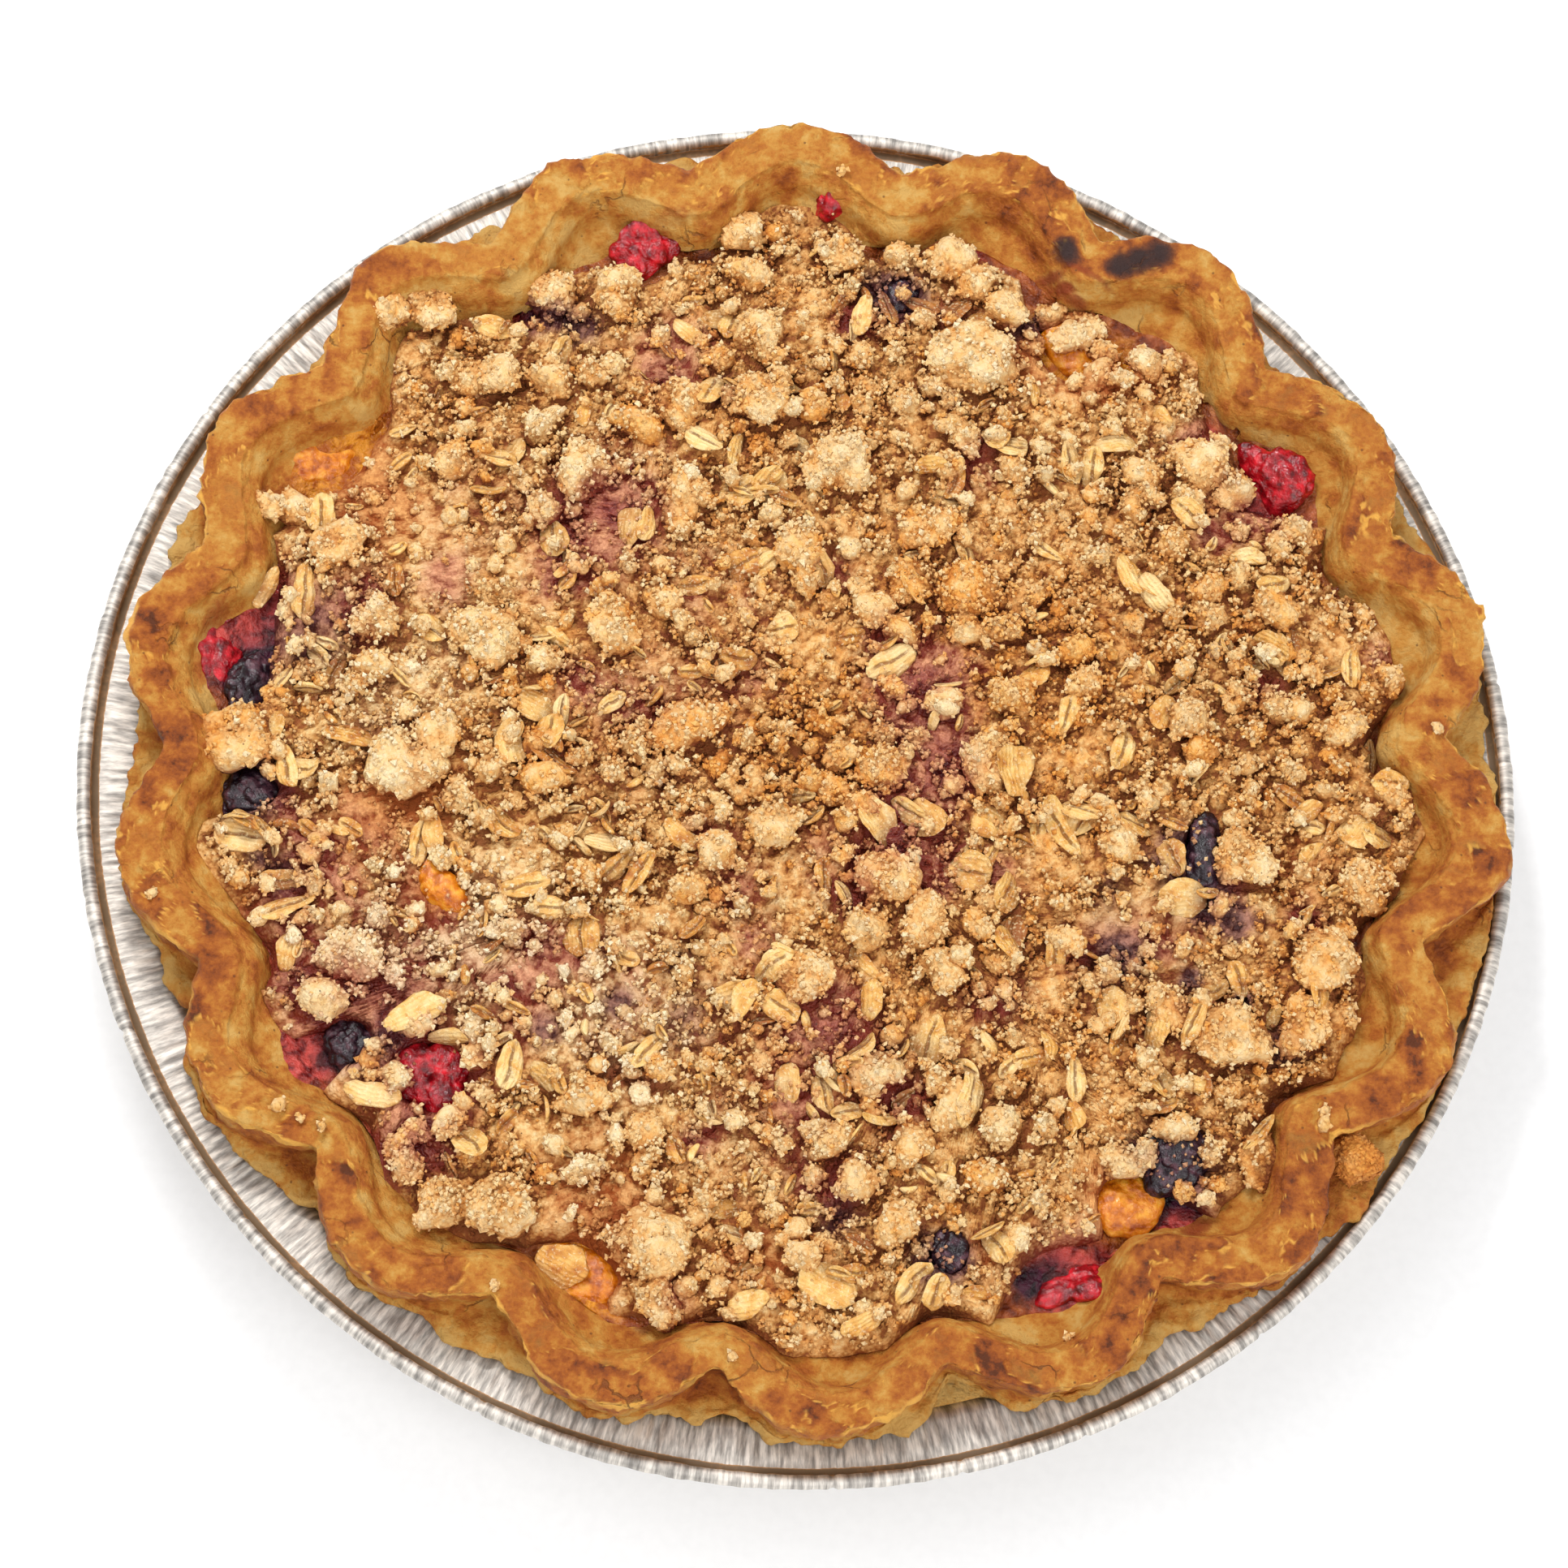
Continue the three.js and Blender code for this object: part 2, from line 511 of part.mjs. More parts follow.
function flakePieces() {
  const random = seededRandom(33);
  const pieces = [];
  for (let index = 0; index < FLAKE_COUNT; index += 1) {
    const share = ((index * 37) % FLAKE_COUNT + 0.5) / FLAKE_COUNT;
    const radius = FILL_LINE_RADIUS * Math.sqrt(share);
    const angle = index * GOLDEN_ANGLE + 70;
    const length = lerp(6.5, 9.5, random());
    const width = length * lerp(0.5, 0.8, random());
    const tilt = lerp(8, 55, random());
    const turn = 360 * random();
    const spot = crumbSpot(angle, radius, length / 2);
    if (!spot) continue;
    const geometry = flakeGeometry(random, length, width);
    geometry.rotateX(radians(tilt));
    geometry.rotateZ(radians(turn));
    const rise = 0.25 * length * Math.sin(radians(tilt));
    geometry.translate(spot[0], spot[1], spot[2] + RUBBLE_HEIGHT + rise);
    pieces.push(geometry);
  }
  return pieces;
}

// A well is the upright oval shaft that leaves a fruit open to view.
function wellGeometry([, angle, radius, , length, width, , twist]) {
  const depth = ROPE_TOP - CRUMB_FLOOR;
  const geometry = cleanMesh(new THREE.CylinderGeometry(0.6, 0.57, 1, 8));
  geometry.rotateX(Math.PI / 2);
  geometry.scale(length + 2 * GAP, width + 2 * GAP, 2 * depth);
  geometry.rotateZ(radians(angle + 90 + twist));
  geometry.translate(...polar(angle, radius, CRUMB_FLOOR + depth * 0.9, CRUST_CENTRE));
  return faceOutward(geometry);
}

// A piece that would cross the rope or a fruit is moved towards the middle, or else left out.
function settledPiece(geometry, keepOut) {
  geometry.computeBoundingSphere();
  const { center } = geometry.boundingSphere;
  const inward = new THREE.Vector3(CRUST_CENTRE[0] - center.x, CRUST_CENTRE[1] - center.y, 0);
  inward.setLength(SETTLE_STEP);
  for (let attempt = 0; attempt < 4; attempt += 1) {
    const piece = solidFrom(geometry);
    if (keepOut.every((room) => room.intersect(piece).isEmpty())) return piece;
    geometry.translate(inward.x, inward.y, inward.z);
  }
  return null;
}

// The topping: the bed with a well over each fruit, then the clusters, lumps and flakes on it.
function toppingSolid() {
  let core = solidFrom(crumbOutlineGeometry()).intersect(solidFrom(rubbleGeometry()));
  FRUIT.forEach((entry) => { core = core.subtract(solidFrom(wellGeometry(entry))); });
  const keepOut = [crustRoom, ...fruitRooms];
  let heap = mainBody(core);
  [...clusterPieces(), ...lumpPieces(), ...flakePieces()].forEach((geometry) => {
    const piece = settledPiece(geometry, keepOut);
    if (piece) heap = heap.add(piece);
  });
  return mainBody(heap);
}

// A lump of crumb that fell into the outer side of a notch and lies on the brim.
function brimCrumbGeometry() {
  const geometry = lumpGeometry(seededRandom(5), [9.4, 7.6, 5], 80, CLUSTER_ROUGHNESS);
  return geometry.translate(...polar(331.5, 112.4, 33.5, CRUST_CENTRE));
}

const pie = new THREE.Group();

function addPiece(name, geometry, finish) {
  const mesh = new THREE.Mesh(geometry, new THREE.MeshStandardMaterial(finish));
  mesh.name = name;
  pie.add(mesh);
}

const fruitFinish = (name) => {
  if (name.startsWith('strawberry')) return STRAWBERRY_FINISH;
  return name.startsWith('mango') ? MANGO_FINISH : DARK_BERRY_FINISH;
};

addPiece('foil_pan', foilPanGeometry(), FOIL_FINISH);
addPiece('pie_crust', geometryFrom(crustSolid), CRUST_FINISH);
addPiece('fruit_filling', fillingGeometry(), FILLING_FINISH);
addPiece('crumb_topping', geometryFrom(toppingSolid()), CRUMB_FINISH);
FRUIT.forEach(([name], index) => {
  addPiece(name, geometryFrom(fruitSolids[index]), fruitFinish(name));
});
addPiece('brim_crumb', brimCrumbGeometry(), CRUMB_FINISH);

export default pie;
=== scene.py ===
# %% [markdown]
# # A strawberry mango crumb pie in its foil pan
# A whole pie, not cut: a pressed foil pan, a shortcrust shell with a pinched rope edge, a cooked fruit
# filling that shows in gaps along the rope, and a crumble of oats, butter and sugar over all of it.
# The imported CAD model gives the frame. Each CAD node is dressed with a finer piece of the same form.

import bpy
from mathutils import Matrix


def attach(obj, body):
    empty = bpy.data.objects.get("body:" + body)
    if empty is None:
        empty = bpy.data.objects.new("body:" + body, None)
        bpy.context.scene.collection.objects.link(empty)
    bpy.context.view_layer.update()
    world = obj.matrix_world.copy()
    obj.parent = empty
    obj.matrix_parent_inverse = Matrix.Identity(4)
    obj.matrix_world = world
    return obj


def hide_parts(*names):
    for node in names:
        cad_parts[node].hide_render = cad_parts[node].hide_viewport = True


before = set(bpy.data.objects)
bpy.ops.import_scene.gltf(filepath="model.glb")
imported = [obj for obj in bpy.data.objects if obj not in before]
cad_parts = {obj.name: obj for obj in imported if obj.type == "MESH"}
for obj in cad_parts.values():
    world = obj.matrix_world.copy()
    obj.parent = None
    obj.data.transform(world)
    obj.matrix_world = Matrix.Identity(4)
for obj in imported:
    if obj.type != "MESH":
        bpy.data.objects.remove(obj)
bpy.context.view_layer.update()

# %% [markdown]
# All lengths below are in millimetres, because that is how a baker or a pan maker measures. One
# factor turns them to Blender's metres when a mesh is made.

# %% Modules and units
from itertools import product

import bmesh
import bpy
import numpy as np
from mathutils import Matrix

MM = 0.001
CRUST_CENTRE = (2.0, 1.5)      # the dough sits a little off the pan's middle
PAN_CENTRE = (0.0, 0.0)

# %% [markdown]
# ## Camera
# A long lens looks steeply down on the pie, tipped a little to one side. The camera's axes are worked
# out from its elevation and roll instead of by hand, so that one line changes the whole view.

# %% Camera at the photograph's viewing angle
ELEVATION = 70.27
ROLL = 9.07
DISTANCE = 900.0
LOOK_AT = np.array([-2.6, -1.4, 30.0])
PHOTO_PIXELS = 1932
PIXELS_PER_MM = 7.258          # at the distance of the look-at point
SENSOR_WIDTH = 36.0


def add_camera():
    rise, turn = np.radians(ELEVATION), np.radians(ROLL)
    forward = np.array([0, np.cos(rise), -np.sin(rise)])
    level_right = np.array([1.0, 0, 0])
    level_up = np.cross(level_right, forward)
    right = np.cos(turn) * level_right + np.sin(turn) * level_up
    up = np.cos(turn) * level_up - np.sin(turn) * level_right
    place = (LOOK_AT - forward * DISTANCE) * MM
    data = bpy.data.cameras.new("studio_camera")
    data.sensor_width = SENSOR_WIDTH
    data.lens = PIXELS_PER_MM * DISTANCE / PHOTO_PIXELS * SENSOR_WIDTH
    camera = bpy.data.objects.new("studio_camera", data)
    rows = np.column_stack([right, up, -forward, place])
    camera.matrix_world = Matrix([*rows.tolist(), [0, 0, 0, 1]])
    bpy.context.scene.collection.objects.link(camera)
    bpy.context.scene.camera = camera
    return camera


camera = add_camera()
print("Lens in mm:", round(camera.data.lens, 1))

# %% [markdown]
# ## Floor and light
# Food is shot on a pale sweep under big soft lights, so that crumbs throw short soft shadows and the foil
# gets broad highlights. One small lamp puts sharp glints on the jelly and the fruit, and a pale world
# fills the shadows.

# %% Numbers for colour
def linear(hex_code):
    """An sRGB hex colour as linear red, green and blue, with an alpha of 1."""
    parts = np.array([int(hex_code[i:i + 2], 16) for i in (1, 3, 5)]) / 255
    low = parts / 12.92
    high = ((parts + 0.055) / 1.055) ** 2.4
    return (*np.where(parts <= 0.04045, low, high).tolist(), 1.0)


# %% One function for every node
def set_up(tree, node, settings, links=()):
    """A setting is a socket's value, a ramp's stops or a field. Links feed the node's sockets, each from
    a socket or from the first output of another node."""
    for name, value in settings.items():
        if name == "stops":
            ramp = node.color_ramp.elements
            while len(ramp) < len(value):
                ramp.new(0.5)
            for stop, (place, colour) in zip(ramp, value):
                stop.position = place
                stop.color = linear(colour)
        elif isinstance(name, int) or name in node.inputs:
            node.inputs[name].default_value = value
        else:
            setattr(node, name, value)
    for socket, source in links:
        tree.links.new(getattr(source, "outputs", [source])[0], node.inputs[socket])
    return node


def add_node(tree, kind, settings, links=()):
    return set_up(tree, tree.nodes.new("ShaderNode" + kind), settings, links)


def new_material(name):
    """A material, its node tree and shader, and a link from the object's own coordinates."""
    material = bpy.data.materials.new(name)
    material.use_nodes = True
    tree = material.node_tree
    place = add_node(tree, "TexCoord", {}).outputs["Object"]
    return material, tree, tree.nodes["Principled BSDF"], [("Vector", place)]


def per_mm(size):
    """Scale of a texture whose features are that many millimetres across."""
    return 1 / (size * MM)


# %% Studio floor and lights
FLOOR_SIZE = 6.0
LIGHTS_AIM_AT = (0, 0, 0.03)
# Name, place in metres, power in watts and size in metres.
LIGHTS = [("softbox_key", (-0.34, 0.50, 0.72), 3.5, 0.28),
          ("small_lamp", (-0.20, 0.46, 0.80), 1.7, 0.07),
          ("softbox_left", (-0.50, -0.10, 1.00), 2.2, 0.60),
          ("softbox_right", (0.50, -0.60, 0.75), 6.0, 0.75)]
WORLD_STRENGTH = 0.64


def paper_material():
    """Matte photographic paper: a pale sheet with hardly any tooth."""
    material, tree, shader, vector = new_material("matte_background_paper")
    tooth = add_node(tree, "TexNoise", {"Scale": per_mm(2.0), "Detail": 2.0}, vector)
    tint = add_node(tree, "ValToRGB", {"stops": [(0.3, "#F7F7F7"), (0.7, "#FAFAFA")]}, [("Fac", tooth)])
    set_up(tree, shader, {"Roughness": 0.9}, [("Base Color", tint)])
    return material


def add_light(name, place, power, size):
    data = bpy.data.lights.new(name, "AREA")
    data.energy = power
    data.size = size
    light = bpy.data.objects.new(name, data)
    light.location = place
    aim = np.array(LIGHTS_AIM_AT) - np.array(place)
    from_z = Matrix.Identity(3).col[2].rotation_difference(-Matrix([aim.tolist()] * 3)[0])
    light.rotation_mode = "QUATERNION"
    light.rotation_quaternion = from_z
    bpy.context.scene.collection.objects.link(light)


def add_studio():
    bpy.ops.mesh.primitive_plane_add(size=FLOOR_SIZE)
    floor = bpy.context.object
    floor.name = "studio_floor"
    floor.data.materials.append(paper_material())
    for light in LIGHTS:
        add_light(*light)
    world = bpy.data.worlds.new("studio_world")
    world.use_nodes = True
    sky = world.node_tree.nodes["Background"]
    sky.inputs["Color"].default_value = linear("#FDFDFF")
    sky.inputs["Strength"].default_value = WORLD_STRENGTH
    bpy.context.scene.world = world
    bpy.context.scene.view_settings.view_transform = "Standard"


add_studio()
print("Studio lights:", [light.name for light in bpy.data.lights])

# %% [markdown]
# ## Unevenness
# Nothing baked is regular. Two kinds of noise do most of the work: smooth bumps for dough and jelly,
# and packed domes for grains of crumble. They are written with arrays, so that a hundred thousand
# points take a moment, and each has a seed, so that the pie comes out the same each time.

# %% Noise for meshes
def lattice_random(cells, seed):
    """A number from 0 to 1 for each whole-number cell, the same each time."""
    x, y, z = np.moveaxis(cells.astype(np.int64).astype(np.uint64), -1, 0)
    mixed = x * np.uint64(2654435761) + y * np.uint64(2246822519) + z * np.uint64(3266489917)
    mixed = mixed + np.uint64(seed) * np.uint64(668265263)
    for shift, factor in ((15, 739982445), (12, 695872825), (15, 1)):
        mixed = (mixed ^ (mixed >> np.uint64(shift))) * np.uint64(factor)
    return (mixed & np.uint64(0xFFFFFFFF)) / 4294967296.0


def smooth_noise(points, size, seed=0):
    """Smooth bumps from -1 to 1, about size across."""
    place = np.asarray(points) / size
    base = np.floor(place)
    blend = place - base
    blend = blend * blend * (3 - 2 * blend)
    total = 0
    for corner in product((0, 1), repeat=3):
        weight = np.prod(np.where(corner, blend, 1 - blend), axis=-1)
        total = total + weight * lattice_random(base + corner, seed)
    return 2 * total - 1


def layered_noise(points, size, layers, seed=0):
    """Smooth bumps with finer and lower ones on them."""
    total = 0
    for layer in range(layers):
        total = total + smooth_noise(points, size / 2 ** layer, seed + layer) / 2 ** layer
    return total / (2 - 2 / 2 ** layers)


def grain_domes(points, size, seed=0, flat=False):
    """Domes from 0 to 1 of round grains packed about size apart, in a plane or in space."""
    place = np.asarray(points) / size
    if flat:
        place = place * (1, 1, 0)
    base = np.floor(place)
    nearest = np.full(place.shape[:-1], 9.0)
    for offset in product((-1, 0, 1), (-1, 0, 1), (0,) if flat else (-1, 0, 1)):
        cell = base + offset
        away = 0
        for axis in range(2 if flat else 3):
            middle = cell[..., axis] + lattice_random(cell, seed + axis)
            away = away + (place[..., axis] - middle) ** 2
        nearest = np.minimum(nearest, away)
    return np.clip(1 - nearest, 0, 1)


def dip(angle, centre, half_width):
    """1 at an angle, falling smoothly to 0 at half_width degrees from it."""
    away = np.abs((np.asarray(angle) - centre + 540) % 360 - 180)
    return np.where(away < half_width, 0.5 + 0.5 * np.cos(np.pi * away / half_width), 0)


def wander(angle, waves, phase):
    """A smooth uneven curve round the pie, from -1 to 1, that closes on itself."""
    turn = np.radians(angle)
    return 0.6 * np.sin(waves * turn + phase) + 0.4 * np.sin((2 * waves + 1) * turn + 2.3 * phase)


def mix(a, b, share):
    return a + (b - a) * share


def polar(angle, radius, height, centre=PAN_CENTRE):
    """Points at an angle in degrees and a radius about a centre."""
    turn = np.radians(angle)
    parts = np.broadcast_arrays(
        centre[0] + radius * np.cos(turn), centre[1] + radius * np.sin(turn), height)
    return np.stack(parts, axis=-1)


def polar_of(x, y, centre=CRUST_CENTRE):
    """(angle in degrees, radius) of points about a centre."""
    along, across = np.asarray(x) - centre[0], np.asarray(y) - centre[1]
    return np.degrees(np.arctan2(across, along)) % 360, np.hypot(along, across)


# %% [markdown]
# ## From arrays to a piece
# Each piece is one mesh made from arrays of points and faces. The same function shades it smooth or in
# flat facets, gives it its material and the values that the material reads at each point, hides the
# CAD node it stands for and hangs it on the root body.

# %% One function for every piece
def make_piece(name, points, face_groups, material, nodes=(), values=(), facets=0):
    """Facets is how many of the last faces are flat. The others are shaded as one smooth skin."""
    mesh = bpy.data.meshes.new(name)
    corners = np.concatenate([faces.ravel() for faces in face_groups])
    counts = np.concatenate([np.full(len(faces), faces.shape[1]) for faces in face_groups])
    mesh.vertices.add(len(points))
    mesh.vertices.foreach_set("co", (np.asarray(points) * MM).ravel())
    mesh.loops.add(len(corners))
    mesh.loops.foreach_set("vertex_index", corners.astype(np.int32))
    mesh.polygons.add(len(counts))
    mesh.polygons.foreach_set("loop_start", (np.cumsum(counts) - counts).astype(np.int32))
    mesh.polygons.foreach_set("use_smooth", np.arange(len(counts)) < len(counts) - facets)
    mesh.update(calc_edges=True)
    for key, numbers in dict(values).items():
        layer = mesh.attributes.new(key, "FLOAT", "POINT")
        layer.data.foreach_set("value", np.asarray(numbers, dtype=np.float32).ravel())
    mesh.materials.append(material)
    piece = bpy.data.objects.new(name, mesh)
    bpy.context.scene.collection.objects.link(piece)
    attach(piece, "root")
    if nodes:
        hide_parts(*nodes)
    print(f"{name}: {len(points)} points, {int((counts - 2).sum())} triangles")


def ring_faces(rows, columns):
    """Four-cornered faces between closed rings that are stored one after the other."""
    row, column = np.meshgrid(np.arange(rows - 1), np.arange(columns), indexing="ij")
    after = (column + 1) % columns
    corners = (row * columns + column, row * columns + after,
               (row + 1) * columns + after, (row + 1) * columns + column)
    return np.stack(corners, axis=-1).reshape(-1, 4)


def fan(middle, *rim):
    """Three-cornered faces from one middle point to each stretch of a rim."""
    return np.stack([np.full(len(rim[0]), middle), *rim], axis=-1)


def close_rings(rings):
    """(points, faces) of a body of rings, closed by a fan to the middle of the first and the last."""
    rows, columns = rings.shape[:2]
    points = np.concatenate([rings.reshape(-1, 3), rings[[0, -1]].mean(axis=1)])
    here = np.arange(columns)
    after = (here + 1) % columns
    last = (rows - 1) * columns
    return points, [ring_faces(rows, columns), fan(rows * columns, after, here),
                    fan(rows * columns + 1, last + here, last + after)]


def ring_normals(rings):
    """The outward direction at each point of a body of rings."""
    along = np.roll(rings, -1, axis=1) - np.roll(rings, 1, axis=1)
    down = np.gradient(rings, axis=0)
    normal = np.cross(along, down)
    return normal / np.maximum(np.linalg.norm(normal, axis=-1, keepdims=True), 1e-9)


# %% [markdown]
# ## Foil pan
# A pie pan is stamped from one sheet of thin aluminium. The flat sheet has more edge than the rim
# needs, so the wall and flange gather into fine radial pleats, about 2 mm apart, and the edge is
# rolled into a bead. Pleats are real folds in the mesh, because foil shows them as bright and dark
# stripes. Baked-on juice and sugar have left a brown line in the groove inside the bead.

# %% Pan: values
PAN_COLUMNS = 1800
PLEATS = 346                   # about 2 mm apart on the flange
PLEAT_DEPTH = 0.22
GROOVE_RADIUS = 119.2
BEAD_RADIUS = 121.0
BEAD_HEIGHT = 29.4
BEAD_HALF = 1.25
FLANGE_MIDDLE = 118.0
SUGAR_FROM = 27.9              # height over which burnt sugar is left on the foil
# Radius, height and share of the pleats for each ring, from under the middle, out and back inside.
PAN_OUTSIDE = [(60, 0, 0), (90, 0, 0), (93.6, 0.1, 0), (95.2, 0.9, 0.3), (98.6, 6.0, 0.8),
               (102.6, 12.4, 1), (106.6, 18.8, 1), (110.4, 24.8, 1), (111.5, 26.4, 1),
               (113, 27.0, 1), (116, 27.4, 1), (118.6, 27.8, 0.25)]
PAN_INSIDE = [(118.5, 28.3, 0.2), (117.6, 28.4, 0.7), (116, 28.25, 1), (114.3, 28.0, 1),
              (112.6, 27.8, 1), (111.2, 27.5, 1), (109.9, 25.6, 1), (106, 19.4, 1),
              (102, 13.0, 1), (98, 6.6, 0.8), (94.6, 1.4, 0.3), (93, 0.7, 0), (60, 0.6, 0)]
BEAD_DIRECTIONS = (250, 280, 310, 340, 10, 40, 70, 100, 130, 160, 190, 215)
BEAD_CREASES = (211, 229, 245, 253, 281, 291, 301, 317, 18, 63, 118, 156)


# %% Pan: pleats, bead and mesh
def pan_pleats(angle):
    """Folds from -1 to 1, none quite like the next, with stretches where they are nearly flat."""
    point = polar(angle, FLANGE_MIDDLE, 0)
    phase = np.radians(angle) * PLEATS + 6.0 * smooth_noise(point, 5.0, 3)
    depth = np.clip(0.45 + 1.1 * smooth_noise(point, 6.0, 4), 0.05, 1.3)
    sharp = np.arcsin(0.97 * np.sin(phase)) / (np.pi / 2)
    return sharp * depth + 0.8 * smooth_noise(point, 1.2, 6)


def pan_bead(angle):
    """The rolled bead's rings, crimped across every few millimetres."""
    crimp = 0.14 * smooth_noise(polar(angle, BEAD_RADIUS, 0), 1.7, 5)
    crease = sum(0.4 * dip(angle, at, 0.45) for at in BEAD_CREASES)
    rings = []
    for direction in BEAD_DIRECTIONS:
        reach = BEAD_HALF + crimp - crease
        radius = BEAD_RADIUS + reach * np.cos(np.radians(direction))
        rings.append(polar(angle, radius, BEAD_HEIGHT + reach * np.sin(np.radians(direction))))
    return rings


def pan_rings():
    angle = np.arange(PAN_COLUMNS) * 360 / PAN_COLUMNS
    fold = PLEAT_DEPTH * pan_pleats(angle)
    flat = [[polar(angle, radius - share * fold, height + share * fold)
             for radius, height, share in rows] for rows in (PAN_OUTSIDE, PAN_INSIDE)]
    return np.stack([*flat[0], *pan_bead(angle), *flat[1]])


def pan_values(points):
    """How thick burnt sugar lies inside the bead, and places along and across the rim in mm."""
    angle, radius = polar_of(points[:, 0], points[:, 1], PAN_CENTRE)
    inside = points[:, 2] > SUGAR_FROM
    return {"groove": inside * (0.95 + 0.35 * layered_noise(points, 6.0, 3, 8)),
            "arc": np.radians(angle) * 120.0, "reach": radius}


def foil_material():
    """Pressed aluminium foil: bare metal with fine radial scratches from the die, which draw its
    highlights out, and a line of burnt sugar in the groove, which is brown, matte and not metal. The
    metal's colour is painted lighter and darker along the scratches, as painted reflection."""
    material, tree, shader, vector = new_material("pressed_aluminium_foil")
    read = {key: add_node(tree, "Attribute", {"attribute_name": key}).outputs["Fac"]
            for key in ("groove", "arc", "reach")}
    slower = add_node(tree, "Math", {"operation": "MULTIPLY", 1: 0.16}, [(0, read["reach"])])
    along = add_node(tree, "CombineXYZ", {}, [("X", read["arc"]), ("Y", slower)])
    streaks = add_node(tree, "TexNoise", {"Scale": 1 / 0.9, "Detail": 4.0, "Roughness": 0.6},
                       [("Vector", along)])
    rolled = add_node(tree, "TexNoise", {"Scale": per_mm(0.9), "Detail": 4.0}, vector)
    # Lighter and darker streaks in the metal's colour: painted reflection along the scratches.
    metal = add_node(tree, "ValToRGB",
                     {"stops": [(0.36, "#9A958F"), (0.5, "#C8C2BA"), (0.62, "#EAE4DB")]},
                     [("Fac", streaks)])
    broken_edge = add_node(tree, "Math", {"operation": "MULTIPLY_ADD", 1: 0.6, 2: -0.28}, [(0, rolled)])
    past = add_node(tree, "Math", {"operation": "SUBTRACT", 1: GROOVE_RADIUS}, [(0, read["reach"])])
    away = add_node(tree, "Math", {"operation": "ABSOLUTE"}, [(0, past)])
    near = add_node(tree, "MapRange", {"From Min": 0.4, "From Max": 1.0, "To Min": 1.0, "To Max": 0.0},
                    [("Value", away)])
    line = add_node(tree, "Math", {"operation": "MULTIPLY"}, [(0, near), (1, read["groove"])])
    thick = add_node(tree, "Math", {"operation": "ADD", "use_clamp": True}, [(0, line), (1, broken_edge)])
    cover = add_node(tree, "MapRange", {"From Min": 0.47, "From Max": 0.53}, [("Value", thick)])
    sugar = add_node(tree, "ValToRGB", {"stops": [(0.5, "#BE8C54"), (0.7, "#94704C"), (0.95, "#6E583F")]},
                     [("Fac", thick)])
    colour = add_node(tree, "Mix", {"data_type": "RGBA"}, [(0, cover), (6, metal), (7, sugar)])
    bare = add_node(tree, "Math", {"operation": "SUBTRACT", 0: 1.0}, [(1, cover)])
    gloss = add_node(tree, "MapRange", {"To Min": 0.52, "To Max": 0.78}, [("Value", streaks)])
    bump = add_node(tree, "Bump", {"Strength": 0.5, "Distance": 0.12 * MM}, [("Height", streaks)])
    set_up(tree, shader, {}, [("Base Color", colour.outputs[2]), ("Metallic", bare),
                              ("Roughness", gloss), ("Normal", bump)])
    return material


pan_points, pan_faces = close_rings(pan_rings())
make_piece("foil_pan_pleated", pan_points, pan_faces, foil_material(), ["foil_pan"],
           pan_values(pan_points))

# %% [markdown]
# ## Crust
# The shell is shortcrust: a bottom and wall that hide in the pan, a thin brim that lies on the
# flange, and a rope pinched up between finger and thumb into 18 uneven waves. One profile is worked
# out for each angle and swept round, then roughened along its own surface, as dough blisters and
# cracks in the oven.

# %% Crust: the waves of its rope, and its brim
FLUTES = 18
FIRST_NOTCH = 11.0
FILL_LINE_RADIUS = 97.0
FILL_LINE_HEIGHT = 28.8
ROPE_FOOT = 31.5
ROPE_TOP = 40.3
FOOT_INSET = 0.8               # from the rope's inner side in to the foot under it
FOOT_HEIGHT = ROPE_FOOT + 1.5  # of the dough at that foot
BRIM_LIMIT = 119.05            # the brim stays inside the bead
BRIM_TEARS = [(291, 5, 7), (272, 4, 4), (212, 4, 3), (233, 3, 3), (310, 4, 3), (52, 5, 4)]
BRIM_SPREADS = [(352, 44, 3.6), (222, 16, 1.6)]


def flute_drift(angle):
    return -0.8 + 1.3 * np.cos(np.radians(angle - 20))


def swing(angle):
    """0 in the pinch of a notch, 1 on the outward swing of the rope."""
    phase = np.radians((angle - FIRST_NOTCH - flute_drift(angle)) * FLUTES)
    return 0.5 - 0.5 * np.cos(phase)


def rope_outer(angle):
    worn = 2 * dip(angle, 50, 26) + 2 * dip(angle, 291, 22)
    notch = 108.2 + 1.4 * np.cos(np.radians(angle - 140))
    torn = 0.6 * layered_noise(polar(angle, 115, 0), 2.6, 3, 12)
    return mix(notch, 117.7 - worn, swing(angle) ** 0.55) + 0.35 * wander(angle, 11, 1) + torn


def rope_inner(angle):
    notch = 98.5 + 1.1 * np.cos(np.radians(angle - 190))
    return mix(notch, 107.5, swing(angle) ** 0.9) + 0.35 * wander(angle, 7, 4)


def brim_outer(angle):
    torn = sum(depth * dip(angle, at, half) for at, half, depth in BRIM_TEARS)
    crumbled = 1.1 * layered_noise(polar(angle, 115, 0), 3.2, 4, 11)
    spread = sum(more * dip(angle, at, half) for at, half, more in BRIM_SPREADS)
    ragged = 115.2 + 1.1 * wander(angle, 13, 2) + 0.5 * wander(angle, 31, 5) - torn + crumbled + spread
    return np.maximum(ragged, rope_outer(angle) - 0.3)


def flange_height(radius):
    return 27.6 + np.clip((radius - 111.2) / 7.6, 0, 1)


def dough_height(angle, radius):
    """Height of the dough between the fill line and the rope's inner foot."""
    foot = rope_inner(angle) - FOOT_INSET
    share = (radius - FILL_LINE_RADIUS) / np.maximum(foot - FILL_LINE_RADIUS, 0.2)
    return mix(FILL_LINE_HEIGHT, FOOT_HEIGHT, np.clip(share, 0, 1))


# %% Crust: the profile at each angle
CRUST_COLUMNS = 1040
